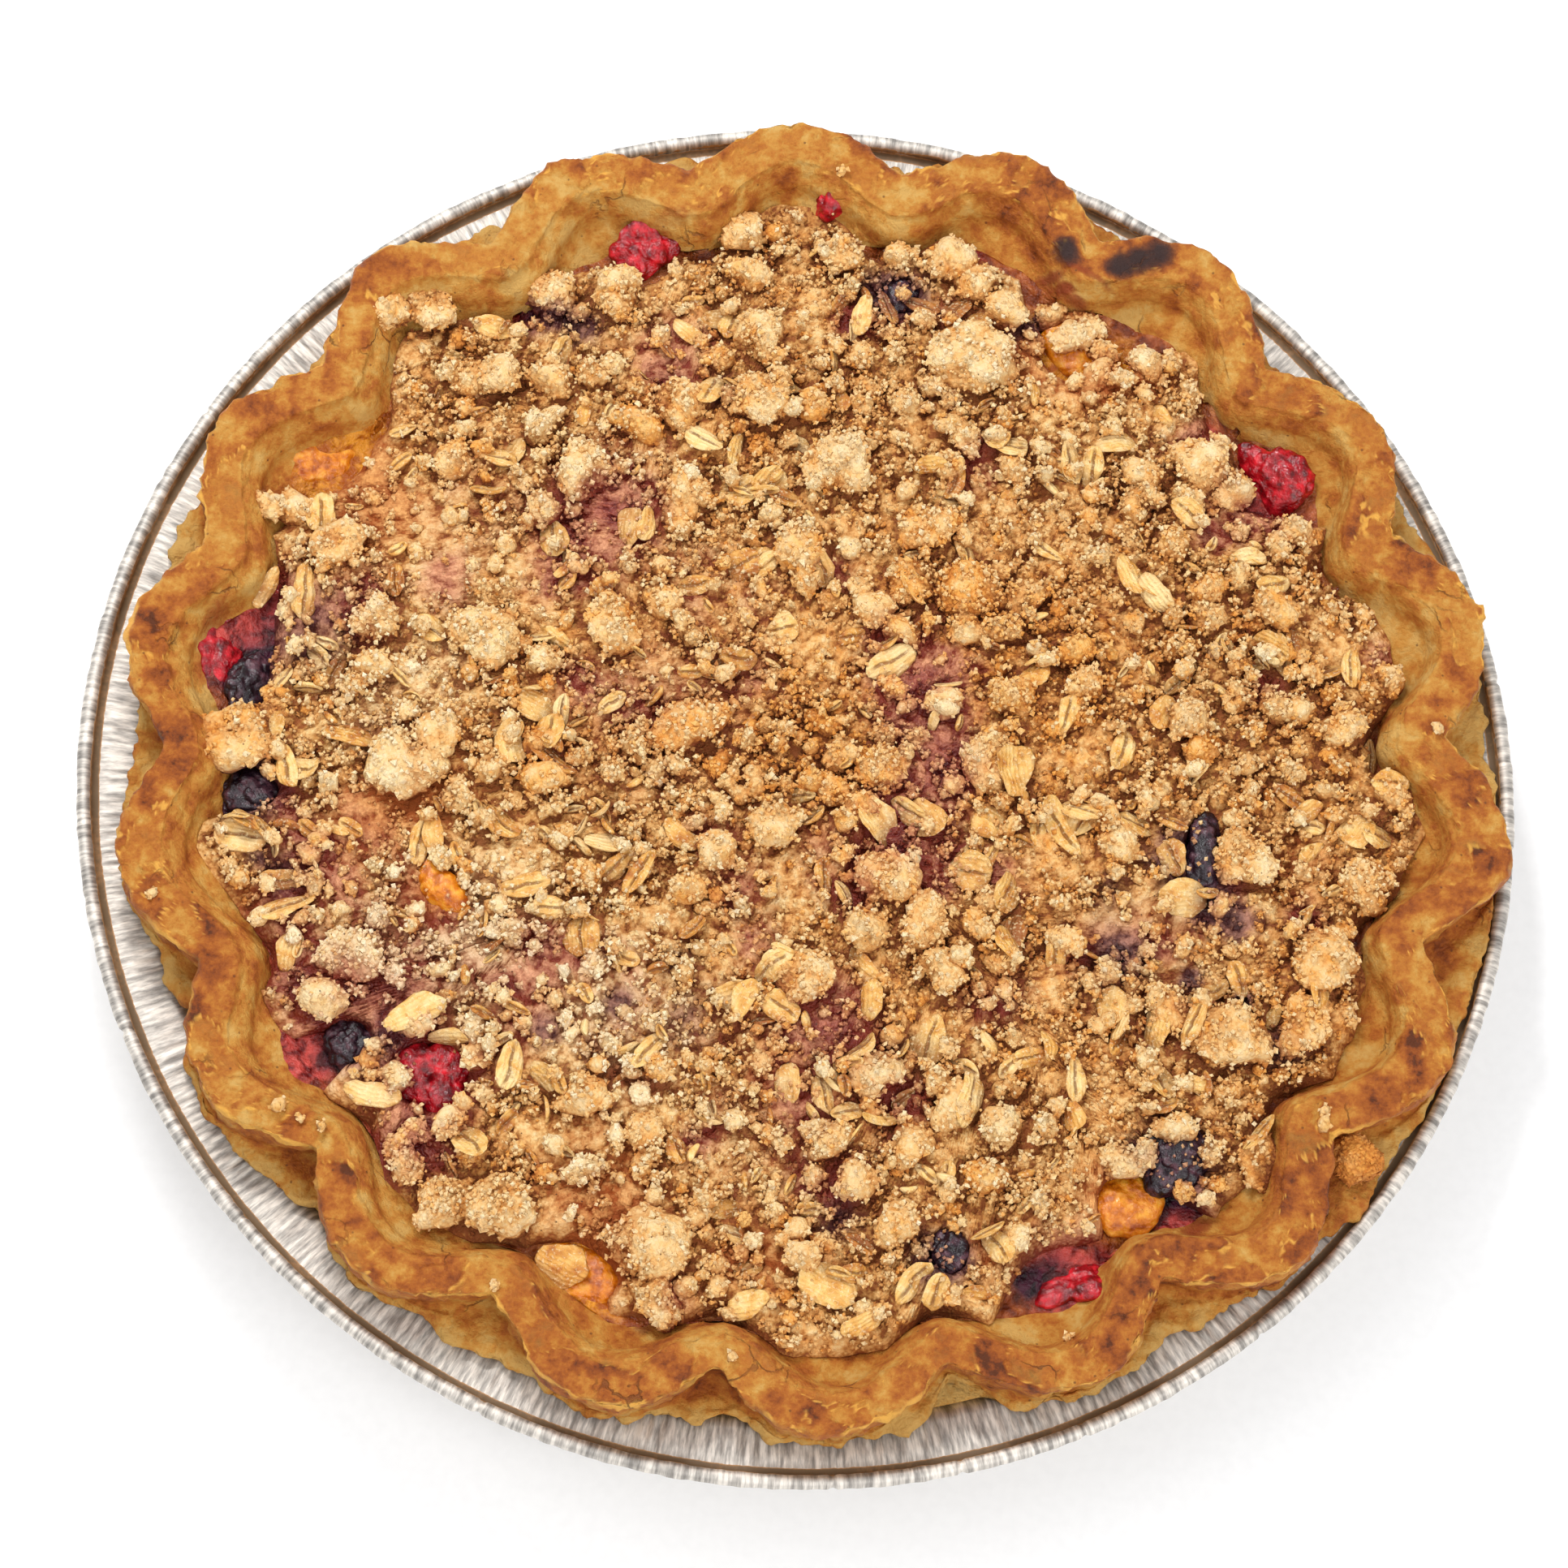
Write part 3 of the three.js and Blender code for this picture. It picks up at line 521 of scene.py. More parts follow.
# How many rings run from each turn of the profile to the next, and what the stretch is.
SPANS = [("brim", 3), ("brim", 4), ("brim", 7), ("outer", 4), ("outer", 5), ("outer", 5), ("edge", 5),
         ("edge", 4), ("crown", 9), ("crown", 9), ("lip", 5), ("inner", 7), ("inner", 5), ("slope", 7),
         ("slope", 5)]


def crust_turns(angle):
    """(radius, height) of each turn of the profile, from under the brim over the rope to the filling."""
    outer, inner, brim = rope_outer(angle), rope_inner(angle), brim_outer(angle)
    pinched = 1 - swing(angle)
    crown = ROPE_TOP + 0.5 * wander(angle, 9, 3) - 0.5 * pinched
    ridge = inner + 2.9 + 0.8 * np.cos(np.radians(angle - 170))
    floor = flange_height(brim) + 0.75
    foot = np.minimum(outer - 0.5, brim - 0.4)
    slope = mix(inner - FOOT_INSET, FILL_LINE_RADIUS, 0.5)
    turns = [(brim - 0.7, floor), (brim, floor + 0.8), (brim - 0.9, floor + 1.6),
             (mix(brim, foot, 0.75), floor + 1.9), (foot, 31.7), (outer - 0.2, 34.6),
             (outer + 0.1, 37.9), (outer + 0.2, crown - 0.7), (outer - 0.5, crown + 0.05),
             (mix(outer, ridge, 0.55), crown), (ridge, crown - 0.15), (ridge - 1.1, crown - 1.6),
             (inner + 0.1, 36.0), (inner - FOOT_INSET, 33.6), (slope, dough_height(angle, slope) + 0.4),
             (FILL_LINE_RADIUS - 0.2 + 0 * angle, FILL_LINE_HEIGHT + 0 * angle)]
    return np.array([np.broadcast_arrays(*turn) for turn in turns])


def smooth_rows(turns, spans):
    """Rows on a smooth curve through the turns, with so many in each span, and each row's span."""
    padded = np.concatenate([turns[:1], turns, turns[-1:]])
    rows, kinds = [], []
    for index, (kind, count) in enumerate(spans):
        before, start, end, after = padded[index:index + 4]
        for step in range(count):
            t = step / count
            rows.append(0.5 * (2 * start + (end - before) * t
                               + (2 * before - 5 * start + 4 * end - after) * t ** 2
                               + (3 * start - before - 3 * end + after) * t ** 3))
            kinds.append(kind)
    return np.array([*rows, turns[-1]]), [*kinds, spans[-1][0]]


def crust_surface():
    """The visible rings of the crust before any roughness, and what each ring is part of."""
    angle = FIRST_NOTCH + np.arange(CRUST_COLUMNS) * 360 / CRUST_COLUMNS
    rows, kinds = smooth_rows(crust_turns(angle), SPANS)
    rings = polar(angle, rows[:, 0], rows[:, 1], CRUST_CENTRE)
    reach = np.hypot(rings[..., 0], rings[..., 1])
    low = rings[..., 2] < ROPE_FOOT + 0.1
    shrink = np.where(low, np.minimum(1, BRIM_LIMIT / reach), 1)
    rings[..., :2] *= shrink[..., None]
    return rings, np.array(kinds)


# %% Crust: blisters, cracks and crumbled edges
ROUGHNESS_OF = {"brim": 1.0, "outer": 0.9, "edge": 1.0, "crown": 0.9, "lip": 0.8, "inner": 0.6,
                "slope": 0.6}


def on_rings(kinds, *names):
    """1 on rings of those kinds and 0 elsewhere, with a soft change between."""
    chosen = np.isin(kinds, names).astype(float)
    return np.convolve(np.pad(chosen, 1, mode="edge"), (0.25, 0.5, 0.25), mode="valid")[:, None]


def skin(rings):
    """1 where the dough's baked skin stands, 0 where it flaked off, with a step of half a mm between."""
    return np.clip(layered_noise(rings, 6.5, 4, 28) / 0.07 + 0.75, 0, 1)


def crust_relief(rings, kinds):
    """How far each point stands out from or sinks into the smooth dough."""
    weight = np.array([ROUGHNESS_OF[kind] for kind in kinds])[:, None]
    weight[:2] *= 0.2
    weight[-3:] *= 0.3
    swell = 0.60 * smooth_noise(rings, 12.0, 21) + 0.42 * smooth_noise(rings, 5.0, 22)
    blisters = 0.35 * np.clip(grain_domes(rings, 4.2, 27) - 0.72, 0, 1)
    tooth = 0.40 * layered_noise(rings, 1.7, 2, 23)
    stretched = rings * (0.35, 0.35, 1.0)
    torn = np.abs(layered_noise(stretched, 3.6, 3, 24))
    crack = -0.8 * np.clip(1 - torn / 0.06, 0, 1) * np.clip(smooth_noise(rings, 12.0, 25), 0, 1)
    flakes = (0.95 * layered_noise(rings, 2.3, 3, 26) - 0.1) * on_rings(kinds, "edge", "brim")
    step = 0.65 * (skin(rings) - 1) * on_rings(kinds, "edge", "crown", "lip", "outer")
    bare = (1 - skin(rings)) * on_rings(kinds, "edge", "crown", "lip")
    crumbly = 0.7 * (grain_domes(rings, 2.0, 29) - 0.55) * np.maximum(on_rings(kinds, "brim"), bare)
    return weight * (swell + blisters + tooth + crack + flakes + step + crumbly)


crust_rings, crust_kinds = crust_surface()
relief = crust_relief(crust_rings, crust_kinds)
crust_shown = crust_rings + ring_normals(crust_rings) * relief[..., None]
print("Crust relief in mm:", round(float(relief.min()), 2), "to", round(float(relief.max()), 2))

# %% [markdown]
# ### Colour of the baked dough
# Dough browns where it is thin, high or greasy: on the crown of the rope and its torn edges. It stays
# pale where the crumble or the next wave shades it. Two places are burnt, with browner dough round
# them, and juice has boiled over in a few. These are values at the points of the mesh, which the
# material blends.

# %% Crust: where it is brown, burnt or stained
# Angle and radius about the crust's middle, length round the pie, width and strength.
BURNT_SPOTS = [(68.3, 106.0, 2.8, 2.8, 1.0), (67.0, 108.7, 2.8, 3.0, 1.0), (65.9, 111.6, 2.6, 2.8, 1.0),
               (73.5, 104.2, 2.7, 2.5, 1.0)]
JUICE_SPOTS = [(317.0, 101.5, 3.6, 2.0, 0.8), (262.4, 101.6, 2.0, 1.4, 0.8),
               (74.0, 100.0, 2.2, 1.0, 1.0), (72.3, 98.7, 2.4, 0.9, 1.0), (70.4, 98.0, 2.4, 0.8, 0.9),
               (70.0, 101.6, 5.0, 0.7, 0.8), (113.0, 102.0, 6.0, 2.0, 0.5), (177.0, 104.5, 8.0, 2.0, 0.6)]
SHARE_OF_BROWN = {"brim": 0.16, "outer": 0.46, "edge": 0.56, "crown": 0.54, "lip": 0.44, "inner": 0.36,
                  "slope": 0.30}
MORE_ROUND_BURNS = 0.4


def spots(points, entries):
    """Soft uneven patches at angles and radii, from 0 to 1."""
    at, radius = polar_of(points[..., 0], points[..., 1])
    uneven = 0.3 * layered_noise(points, 3.0, 3, 31)
    total = 0 * radius
    for angle_of, radius_of, length, width, strength in entries:
        along = np.radians((at - angle_of + 540) % 360 - 180) * radius_of / length
        across = (radius - radius_of) / width
        total = np.maximum(total, strength * np.clip(1.5 - np.hypot(along, across) + uneven, 0, 1))
    return total


def crust_values(rings, kinds):
    share = np.array([SHARE_OF_BROWN[kind] for kind in kinds])
    share = np.convolve(np.pad(share, 2, mode="edge"), np.ones(5) / 5, mode="valid")[:, None]
    hotter = 0.05 * np.cos(np.radians(polar_of(rings[..., 0], rings[..., 1])[0] - 300))
    whole = skin(rings)
    on_top = on_rings(kinds, "edge", "crown", "lip")
    scorched = spots(rings, BURNT_SPOTS)
    brown = share + hotter + 0.30 * layered_noise(rings, 15.0, 3, 32) + 0.16 * (whole - 0.7) * on_top
    brown = brown + MORE_ROUND_BURNS * scorched
    border = 1 - np.abs(2 * whole - 1)
    stretches = np.clip(2.0 * layered_noise(rings, 9.0, 3, 34) + 0.6, 0, 1)
    # Straw-yellow along the rope's outer top edge in stretches: partly torn flakes, partly painted
    # highlight on that edge.
    torn = on_rings(kinds, "edge") * stretches + 0.3 * on_rings(kinds, "brim") * stretches
    return {"brown": brown, "flaky": np.clip(torn + (0.8 * border + 0.4 * (1 - whole)) * on_top, 0, 1),
            "burnt": scorched, "juice": spots(rings, JUICE_SPOTS)}


def crust_body(rings, values):
    """The shown surface closed by the plain bottom and wall that hide inside the pan."""
    at = np.arange(CRUST_COLUMNS) * 360 / CRUST_COLUMNS + FIRST_NOTCH
    under = [polar(at, radius, height) for radius, height in ((40, 0.95), (93.2, 0.95), (110.2, 27.9))]
    inside = [polar(at, radius, height) for radius, height in ((92.6, 16.0), (88.5, 5.6), (40, 5.45))]
    body = np.concatenate([under, rings, inside])
    points, faces = close_rings(body)
    padded = {}
    for key, numbers in values.items():
        rows = np.concatenate([np.zeros((3, CRUST_COLUMNS)), numbers, np.zeros((3, CRUST_COLUMNS))])
        padded[key] = np.append(rows.ravel(), [0, 0])
    return points, faces, padded


# %% Crust: material
def add_cracks(tree, vector, cell, width, patch):
    """Thin broken lines from 0 to 1, in patches: cells of that size whose edges are drawn and bent."""
    bend = add_node(tree, "TexNoise", {"Scale": per_mm(0.6 * cell), "Detail": 4.0}, vector)
    push = add_node(tree, "VectorMath", {"operation": "SCALE", "Scale": 0.9 * cell * MM},
                    [(0, bend.outputs["Color"])])
    bent = add_node(tree, "VectorMath", {"operation": "ADD"}, [(0, vector[0][1]), (1, push)])
    lines = add_node(tree, "TexVoronoi", {"feature": "DISTANCE_TO_EDGE", "Scale": per_mm(cell)},
                     [("Vector", bent)])
    drawn = add_node(tree, "MapRange",
                     {"From Min": 0.3 * width / cell, "From Max": width / cell, "To Min": 1.0,
                      "To Max": 0.0}, [("Value", lines)])
    where = add_node(tree, "TexNoise", {"Scale": per_mm(patch), "Detail": 2.0}, vector)
    shown = add_node(tree, "MapRange", {"From Min": 0.58, "From Max": 0.70, "To Max": 0.6},
                     [("Value", where)])
    return add_node(tree, "Math", {"operation": "MULTIPLY"}, [(0, drawn), (1, shown)])


# What lies over the baked colour: its value, full strength, where it starts, and its colour.
# The first layer is partly torn flakes and partly a painted highlight on the rope's outer edge.
CRUST_LAYERS = [("flaky", 0.9, 0.45, "#EDB04C"), ("juice", 0.9, 0.15, "#8A3412"),
                ("burnt", 0.97, 0.2, "#34211E")]


def crust_material():
    """Baked shortcrust: matte, browned by heat from straw to chestnut in cloudy patches, with a dry
    sheen of butter, thin cracks and small blisters. Straw-yellow runs along its edges, partly torn flakes
    and partly a painted highlight on the rope's outer top edge, and the crack lines are darkened as
    painted shade."""
    material, tree, shader, vector = new_material("baked_shortcrust")
    read = {key: add_node(tree, "Attribute", {"attribute_name": key}).outputs["Fac"]
            for key in ("brown", "flaky", "burnt", "juice")}
    clouds = add_node(tree, "TexNoise",
                      {"Scale": per_mm(5.0), "Detail": 6.0, "Roughness": 0.55, "Distortion": 0.1}, vector)
    pores = add_node(tree, "TexNoise", {"Scale": per_mm(1.0), "Detail": 6.0, "Roughness": 0.66}, vector)
    bubbles = add_node(tree, "TexVoronoi", {"feature": "SMOOTH_F1", "Scale": per_mm(1.9)}, vector)
    crack = add_cracks(tree, vector, 10.0, 0.24, 11.0)
    shift = add_node(tree, "Math", {"operation": "MULTIPLY_ADD", 1: 2.0, 2: -1.0}, [(0, clouds)])
    freckle = add_node(tree, "Math", {"operation": "MULTIPLY_ADD", 1: 0.8, 2: -0.4}, [(0, pores)])
    both = add_node(tree, "Math", {"operation": "ADD"}, [(0, shift), (1, freckle)])
    heat = add_node(tree, "Math", {"operation": "ADD", "use_clamp": True},
                    [(0, read["brown"]), (1, both)])
    colour = add_node(tree, "ValToRGB",
                      {"stops": [(0.0, "#D2A458"), (0.22, "#CA8F3C"), (0.42, "#BD7628"),
                                 (0.6, "#AC5E1B"), (0.78, "#944A12"), (0.92, "#7C3A0E"),
                                 (1.0, "#5C2A09")]},
                      [("Fac", heat)])
    for key, strength, start, hex_code in CRUST_LAYERS:
        ragged = add_node(tree, "Math", {"operation": "ADD"}, [(0, read[key]), (1, shift)])
        share = add_node(tree, "MapRange",
                         {"From Min": start, "From Max": start + 0.4, "To Max": strength},
                         [("Value", ragged)])
        kept = add_node(tree, "Math", {"operation": "MULTIPLY", "use_clamp": True},
                        [(0, share), (1, read[key])])
        colour = add_node(tree, "Mix", {"data_type": "RGBA", 7: linear(hex_code)},
                          [(0, kept), (6, colour)]).outputs[2]
    speck = add_node(tree, "TexVoronoi", {"Scale": per_mm(3.1)}, vector)
    dark = add_node(tree, "MapRange", {"From Min": 0.04, "From Max": 0.10, "To Min": 0.75, "To Max": 0.0},
                    [("Value", speck)])
    # Dark specks are the dough's own; the dark of the crack lines is painted shade in the cracks.
    for share in (dark, crack):
        colour = add_node(tree, "Mix", {"data_type": "RGBA", 7: linear("#5E3216")},
                          [(0, share), (6, colour)]).outputs[2]
    height = add_node(tree, "Math", {"operation": "MULTIPLY_ADD", 1: -0.45}, [(0, bubbles), (2, pores)])
    height = add_node(tree, "Math", {"operation": "SUBTRACT"}, [(0, height), (1, crack)])
    bump = add_node(tree, "Bump", {"Strength": 0.9, "Distance": 1.0 * MM}, [("Height", height)])
    gloss = add_node(tree, "MapRange", {"To Min": 0.70, "To Max": 0.42}, [("Value", heat)])
    set_up(tree, shader, {"Specular IOR Level": 0.35},
           [("Base Color", colour), ("Roughness", gloss), ("Normal", bump)])
    return material


crust_points, crust_faces, crust_paint = crust_body(crust_shown, crust_values(crust_rings, crust_kinds))
make_piece("pie_crust_baked", crust_points, crust_faces, crust_material(), ["pie_crust"],
           crust_paint)

# %% [markdown]
# ## Where juice has soaked in
# Under the crumble lie strawberry, mango and dark berries. Where they boiled up, the crumble is soaked
# pink, purple or amber. Each stain has a place, a reach and a strength, and an uneven edge. The jelly,
# the crumble bed and the loose crumbs all read the same stains, so their colours agree.

# %% Stains: x, y, reach and strength of each
RED_STAINS = [
    (-35, 72, 9, 0.5), (-37, 45, 8, 0.7), (-42, 36, 8, 0.8), (-47, 27, 5, 0.6), (-65, 23, 5, 0.55),
    (-80, 16, 7, 0.6), (-93, 16, 6, 0.7), (-40, 9, 4, 0.4), (4, 88, 5, 0.6), (13, 88, 4, 0.35),
    (-3, 84, 4, 0.7), (14, 101, 4, 0.7), (22, 62, 4, 0.4), (21, 56, 4, 0.35), (60, 74, 3, 0.9),
    (56, 71, 4, 0.5), (71, 61, 7, 0.9), (63, 54, 4, 0.6), (75, 28, 4, 0.5), (10, 27, 6, 0.3),
    (18, 20, 8, 0.8), (17, 12, 6, 0.6), (22, 4, 8, 0.9), (0, 36, 5, 0.35), (96, 37, 4, 0.5),
    (-86, -20, 4, 0.7), (-82, -26, 4, 0.4), (-82, -40, 6, 0.55), (-78, -50, 6, 0.75), (-74, -61, 6, 0.9),
    (-70, -48, 5, 0.5), (-62, -53, 7, 0.75), (-54, -64, 8, 1.0), (-54, -75, 6, 0.9), (-38, -39, 4, 0.55),
    (-43, -47, 4, 0.5), (-40, -52, 4, 0.5), (-14, -14, 4, 0.4), (-8, -23, 5, 0.5), (-3, -32, 5, 0.4),
    (18, -9, 7, 0.85), (24, -14, 6, 0.6), (10, -20, 5, 0.6), (35, -14, 5, 0.45), (72, -12, 5, 0.7),
    (62, -20, 4, 0.6), (88, -12, 4, 0.5), (12, -44, 8, 0.7), (25, -55, 5, 0.6), (8, -58, 4, 0.5),
    (37, -36, 6, 0.35), (15, -71, 6, 0.45), (58, -80, 8, 0.95), (74, -67, 5, 0.9), (-7, -67, 3, 0.5),
    (-7, -95, 4, 0.6), (-58, 76, 4, 0.7), (-12, 14, 8, 0.22), (-18, 30, 9, 0.3), (-28, 8, 8, 0.2),
    (-97, 6, 7, 0.9), (3, -12, 6, 0.25), (52, -24, 5, 0.3), (-58, -44, 15, 0.32), (-30, -44, 14, 0.3),
    (-74, -28, 10, 0.35), (2, -58, 20, 0.22), (-30, 2, 20, 0.18), (62, -30, 18, 0.15), (-60, 40, 14, 0.2),
]
PURPLE_STAINS = [
    (-57, 76, 4, 0.6), (-50, 75, 4, 0.7), (-24, 66, 3, 0.5), (-88, 9, 9, 0.5), (-96, 2, 5, 0.9),
    (3, 90, 5, 1.0), (27, 88, 4, 0.5), (-92, -19, 5, 1.0), (-67, -61, 4, 1.0), (-61, -58, 4, 0.5),
    (-24, -46, 3, 0.8), (-35, -53, 3, 0.5), (-12, -47, 5, 0.35), (-15, -38, 4, 0.3), (65, -4, 5, 0.8),
    (70, -11, 5, 0.8), (77, -15, 4, 0.5), (57, -24, 5, 0.75), (55, -14, 4, 0.35), (70, -26, 2, 1.0),
    (79, -28, 2, 1.0), (86, -36, 4, 0.5), (17, -76, 4, 0.5), (70, -60, 7, 1.0), (36, -81, 5, 0.9),
    (52, -81, 5, 0.6), (-88, -29, 3, 0.4), (-83, -33, 4, 0.35), (24, -47, 4, 0.3), (-37, 40, 3, 0.3),
]
AMBER_STAINS = [
    (-90, 46, 9, 1.0), (-80, 38, 6, 0.7), (-76, 36, 4, 0.6), (31, 84, 8, 0.9), (41, 83, 6, 0.8),
    (39, 79, 3, 0.8), (-68, -20, 6, 0.7), (-73, -25, 8, 0.5), (-58, -33, 5, 0.9), (-86, -37, 5, 0.5),
    (-22, -82, 9, 0.6), (-22, -93, 6, 0.9), (63, -66, 6, 1.0), (42, -78, 5, 0.5), (2, -86, 5, 0.7),
    (3, -54, 4, 0.7), (50, 82, 4, 0.5), (85, -3, 7, 0.3), (12, -83, 6, 0.3), (-80, -48, 6, 0.35),
    (8, 68, 6, 0.15), (5, 12, 7, 0.15), (-45, -32, 5, 0.2), (-64, -14, 12, 0.3), (-80, 30, 12, 0.3),
    (-20, -70, 16, 0.2),
]
STAIN_KINDS = {"berry": RED_STAINS, "plum": PURPLE_STAINS, "amber": AMBER_STAINS}


def soft_spot(points, x, y, reach):
    """1 at a place, falling softly away over its reach."""
    away = ((points[..., 0] - x) ** 2 + (points[..., 1] - y) ** 2) / reach ** 2
    return np.exp(-away)


def soaked(points, entries, seed):
    """How strongly juice of one kind has soaked each point, from 0 to 1."""
    dry = 1.0
    for x, y, reach, strength in entries:
        dry = dry * (1 - strength * soft_spot(points, x, y, reach))
    uneven = 0.5 * layered_noise(points, 4.5, 4, seed)
    return np.clip((1 - dry) * (1 + uneven) + 0.25 * uneven * (dry < 0.9), 0, 1)


def stains_at(points):
    return {kind: soaked(points, entries, 40 + len(kind)) for kind, entries in STAIN_KINDS.items()}


def wetness(points):
    """The strongest of the stains at each point."""
    return np.maximum.reduce(list(stains_at(points).values()))


# %% [markdown]
# ## Filling
# Cooked fruit in its thickened juice sets to a soft jelly: wet, glossy and partly see-through, amber by
# the mango, crimson by the strawberries and nearly black by the dark berries. It fills the shell up to
# the fill line and creeps up the dough in the gaps that the crumble leaves. Pieces of soft fruit under
# the skin make its surface lumpy.

# %% Filling: its mesh
JELLY_COLUMNS = 640
JELLY_SHARES = np.concatenate([np.linspace(0.10, 0.76, 12), np.linspace(0.78, 1.0, 48)])
# Angle, half width and height of the places where jelly boiled up the dough.
BOILED_UP = [(154, 9, 2.3), (177, 9, 2.0), (115, 6, 1.5), (43, 7, 1.2), (315, 5, 0.8), (304, 7, 0.7),
             (221, 6, 0.8), (192, 4, 0.8), (67, 9, 0.7), (97, 3, 1.6)]
JELLY_LEVEL = 30.2
JELLY_FILM = 0.9               # how thick it lies on the dough


def jelly_height(points):
    lumps = 1.1 * (grain_domes(points, 6.5, 51, flat=True) - 0.5)
    mush = 0.5 * layered_noise(points * (1, 1, 0), 2.4, 3, 52)
    return JELLY_LEVEL + lumps + mush


def jelly_rings():
    angle = np.arange(JELLY_COLUMNS) * 360 / JELLY_COLUMNS
    boiled = sum(more * dip(angle, at, half) for at, half, more in BOILED_UP)
    rim_height = 30.6 + 0.5 * smooth_noise(polar(angle, FILL_LINE_RADIUS, 0), 6.0, 53) + boiled
    foot = np.maximum(rope_inner(angle) - FOOT_INSET, FILL_LINE_RADIUS + 0.2)
    rise = (rim_height - FILL_LINE_HEIGHT) / (FOOT_HEIGHT - FILL_LINE_HEIGHT)
    rim = mix(FILL_LINE_RADIUS, foot, rise) + 0.4
    top = []
    for share in JELLY_SHARES:
        ring = polar(angle, rim * share, 0, CRUST_CENTRE)
        height = jelly_height(ring)
        film = JELLY_FILM * np.clip((1 - share) * rim / 2, 0, 1) ** 0.5
        on_dough = dough_height(angle, rim * share) + film + 0.4 * (height - JELLY_LEVEL)
        ring[..., 2] = mix(np.maximum(height, on_dough), on_dough, np.clip((share - 0.96) / 0.04, 0, 1))
        top.append(ring)
    wall = [polar(angle, 40, 6.3), polar(angle, 87.8, 6.3), polar(angle, 92.5, 18),
            polar(angle, 96.2, 28.4, CRUST_CENTRE)]
    return np.stack([*wall, *top[::-1]])


def jelly_material():
    """Set fruit jelly: a wet gel full of fruit fibre. Its colours are deep, and its smooth skin throws
    sharp small highlights."""
    material, tree, shader, vector = new_material("set_fruit_jelly")
    pulp = add_node(tree, "TexNoise", {"Scale": per_mm(2.4), "Detail": 5.0, "Distortion": 0.6}, vector)
    fibre = add_node(tree, "TexNoise", {"Scale": per_mm(0.9), "Detail": 4.0}, vector)
    colour = add_node(tree, "ValToRGB", {"stops": [(0.3, "#5E2410"), (0.5, "#94481F"), (0.7, "#C27A44")]},
                      [("Fac", pulp)])
    for key, dark, light in (("amber", "#A0500C", "#E0962E"), ("berry", "#5E0C0C", "#C44C44"),
                             ("plum", "#16060E", "#44142A")):
        kind = add_node(tree, "Attribute", {"attribute_name": key})
        shades = add_node(tree, "ValToRGB", {"stops": [(0.40, dark), (0.62, light)]}, [("Fac", pulp)])
        share = add_node(tree, "MapRange", {"From Min": 0.1, "From Max": 0.5},
                         [("Value", kind.outputs["Fac"])])
        colour = add_node(tree, "Mix", {"data_type": "RGBA"},
                          [(0, share), (6, colour), (7, shades)]).outputs[2]
    bump = add_node(tree, "Bump", {"Strength": 1.0, "Distance": 0.9 * MM}, [("Height", fibre)])
    wet = add_node(tree, "MapRange", {"To Min": 0.05, "To Max": 0.20}, [("Value", fibre)])
    set_up(tree, shader, {"IOR": 1.4, "Specular IOR Level": 0.5},
           [("Base Color", colour), ("Roughness", wet), ("Normal", bump)])
    return material


jelly_points, jelly_faces = close_rings(jelly_rings())
make_piece("fruit_filling_set", jelly_points, jelly_faces, jelly_material(), ["fruit_filling"],
           stains_at(jelly_points))

# %% [markdown]
# ## Fruit
# The pieces that show are large enough to count. Strawberry is a torn, wet chunk with folds, mango a soft
# lobe, and a dark berry is covered in small round grains. Each is a fine ball pushed into its form, in
# the place and size of its CAD solid.

# %% Fruit: places and sizes
# Angle and radius about the crust's middle, height of its middle, length, width, height, twist.
FRUIT = {
    "strawberry": [
        (115.2, 100.4, 32.2, 12.6, 9.4, 6.4, 0), (97.2, 105.0, 34.0, 5.4, 4.4, 6.0, 0),
        (43.5, 97.0, 31.8, 14.5, 9.4, 5.0, 8), (176.6, 103.2, 31.2, 19.5, 8.0, 4.0, 4),
        (229.8, 84.4, 32.0, 14.0, 12.5, 4.6, 20), (304.6, 98.8, 30.6, 17.0, 6.0, 3.8, -8)],
    "mango": [
        (154.2, 102.0, 30.9, 15.0, 12.0, 4.0, 10), (313.2, 91.4, 31.5, 11.4, 11.0, 3.8, 0),
        (67.4, 92.0, 30.9, 16.0, 9.0, 3.8, 0), (255.0, 96.0, 30.4, 14.5, 9.0, 3.2, 0),
        (209.0, 66.0, 33.8, 10.4, 5.6, 3.6, 20)],
    "dark_berry": [
        (319.8, 90.2, 33.2, 13.6, 11.0, 6.0, 30), (355.6, 67.4, 33.6, 15.0, 6.4, 6.2, 10),
        (88.7, 88.6, 32.4, 6.4, 7.0, 5.8, 0), (221.2, 92.0, 31.4, 8.4, 8.4, 4.4, 0),
        (192.2, 95.2, 31.4, 7.6, 9.0, 4.4, 0), (180.6, 96.6, 31.0, 12.0, 7.0, 4.4, 0),
        (293.0, 87.2, 33.0, 6.4, 7.4, 5.6, 0)],
}
FIRST_FRUIT_SEED = 200
DOUGH_SLOPE = 0.32             # rise of the dough per mm outwards, which fruit at the edge lies on


def unit_ball(divisions):
    """Points and three-cornered faces of a ball of radius 1."""
    shape = bmesh.new()
    bmesh.ops.create_icosphere(shape, subdivisions=divisions, radius=1.0)
    points = np.array([point.co[:] for point in shape.verts])
    faces = np.array([[corner.index for corner in face.verts] for face in shape.faces])
    shape.free()
    return points, faces


def turned(points, degrees):
    """Points turned about the upright axis. Degrees is a number or one for each piece."""
    turn = np.radians(np.asarray(degrees))
    turn = turn.reshape(turn.shape + (1,) * (points.ndim - 1 - turn.ndim))
    x, y = points[..., 0], points[..., 1]
    return np.stack([x * np.cos(turn) - y * np.sin(turn), x * np.sin(turn) + y * np.cos(turn),
                     points[..., 2]], axis=-1)


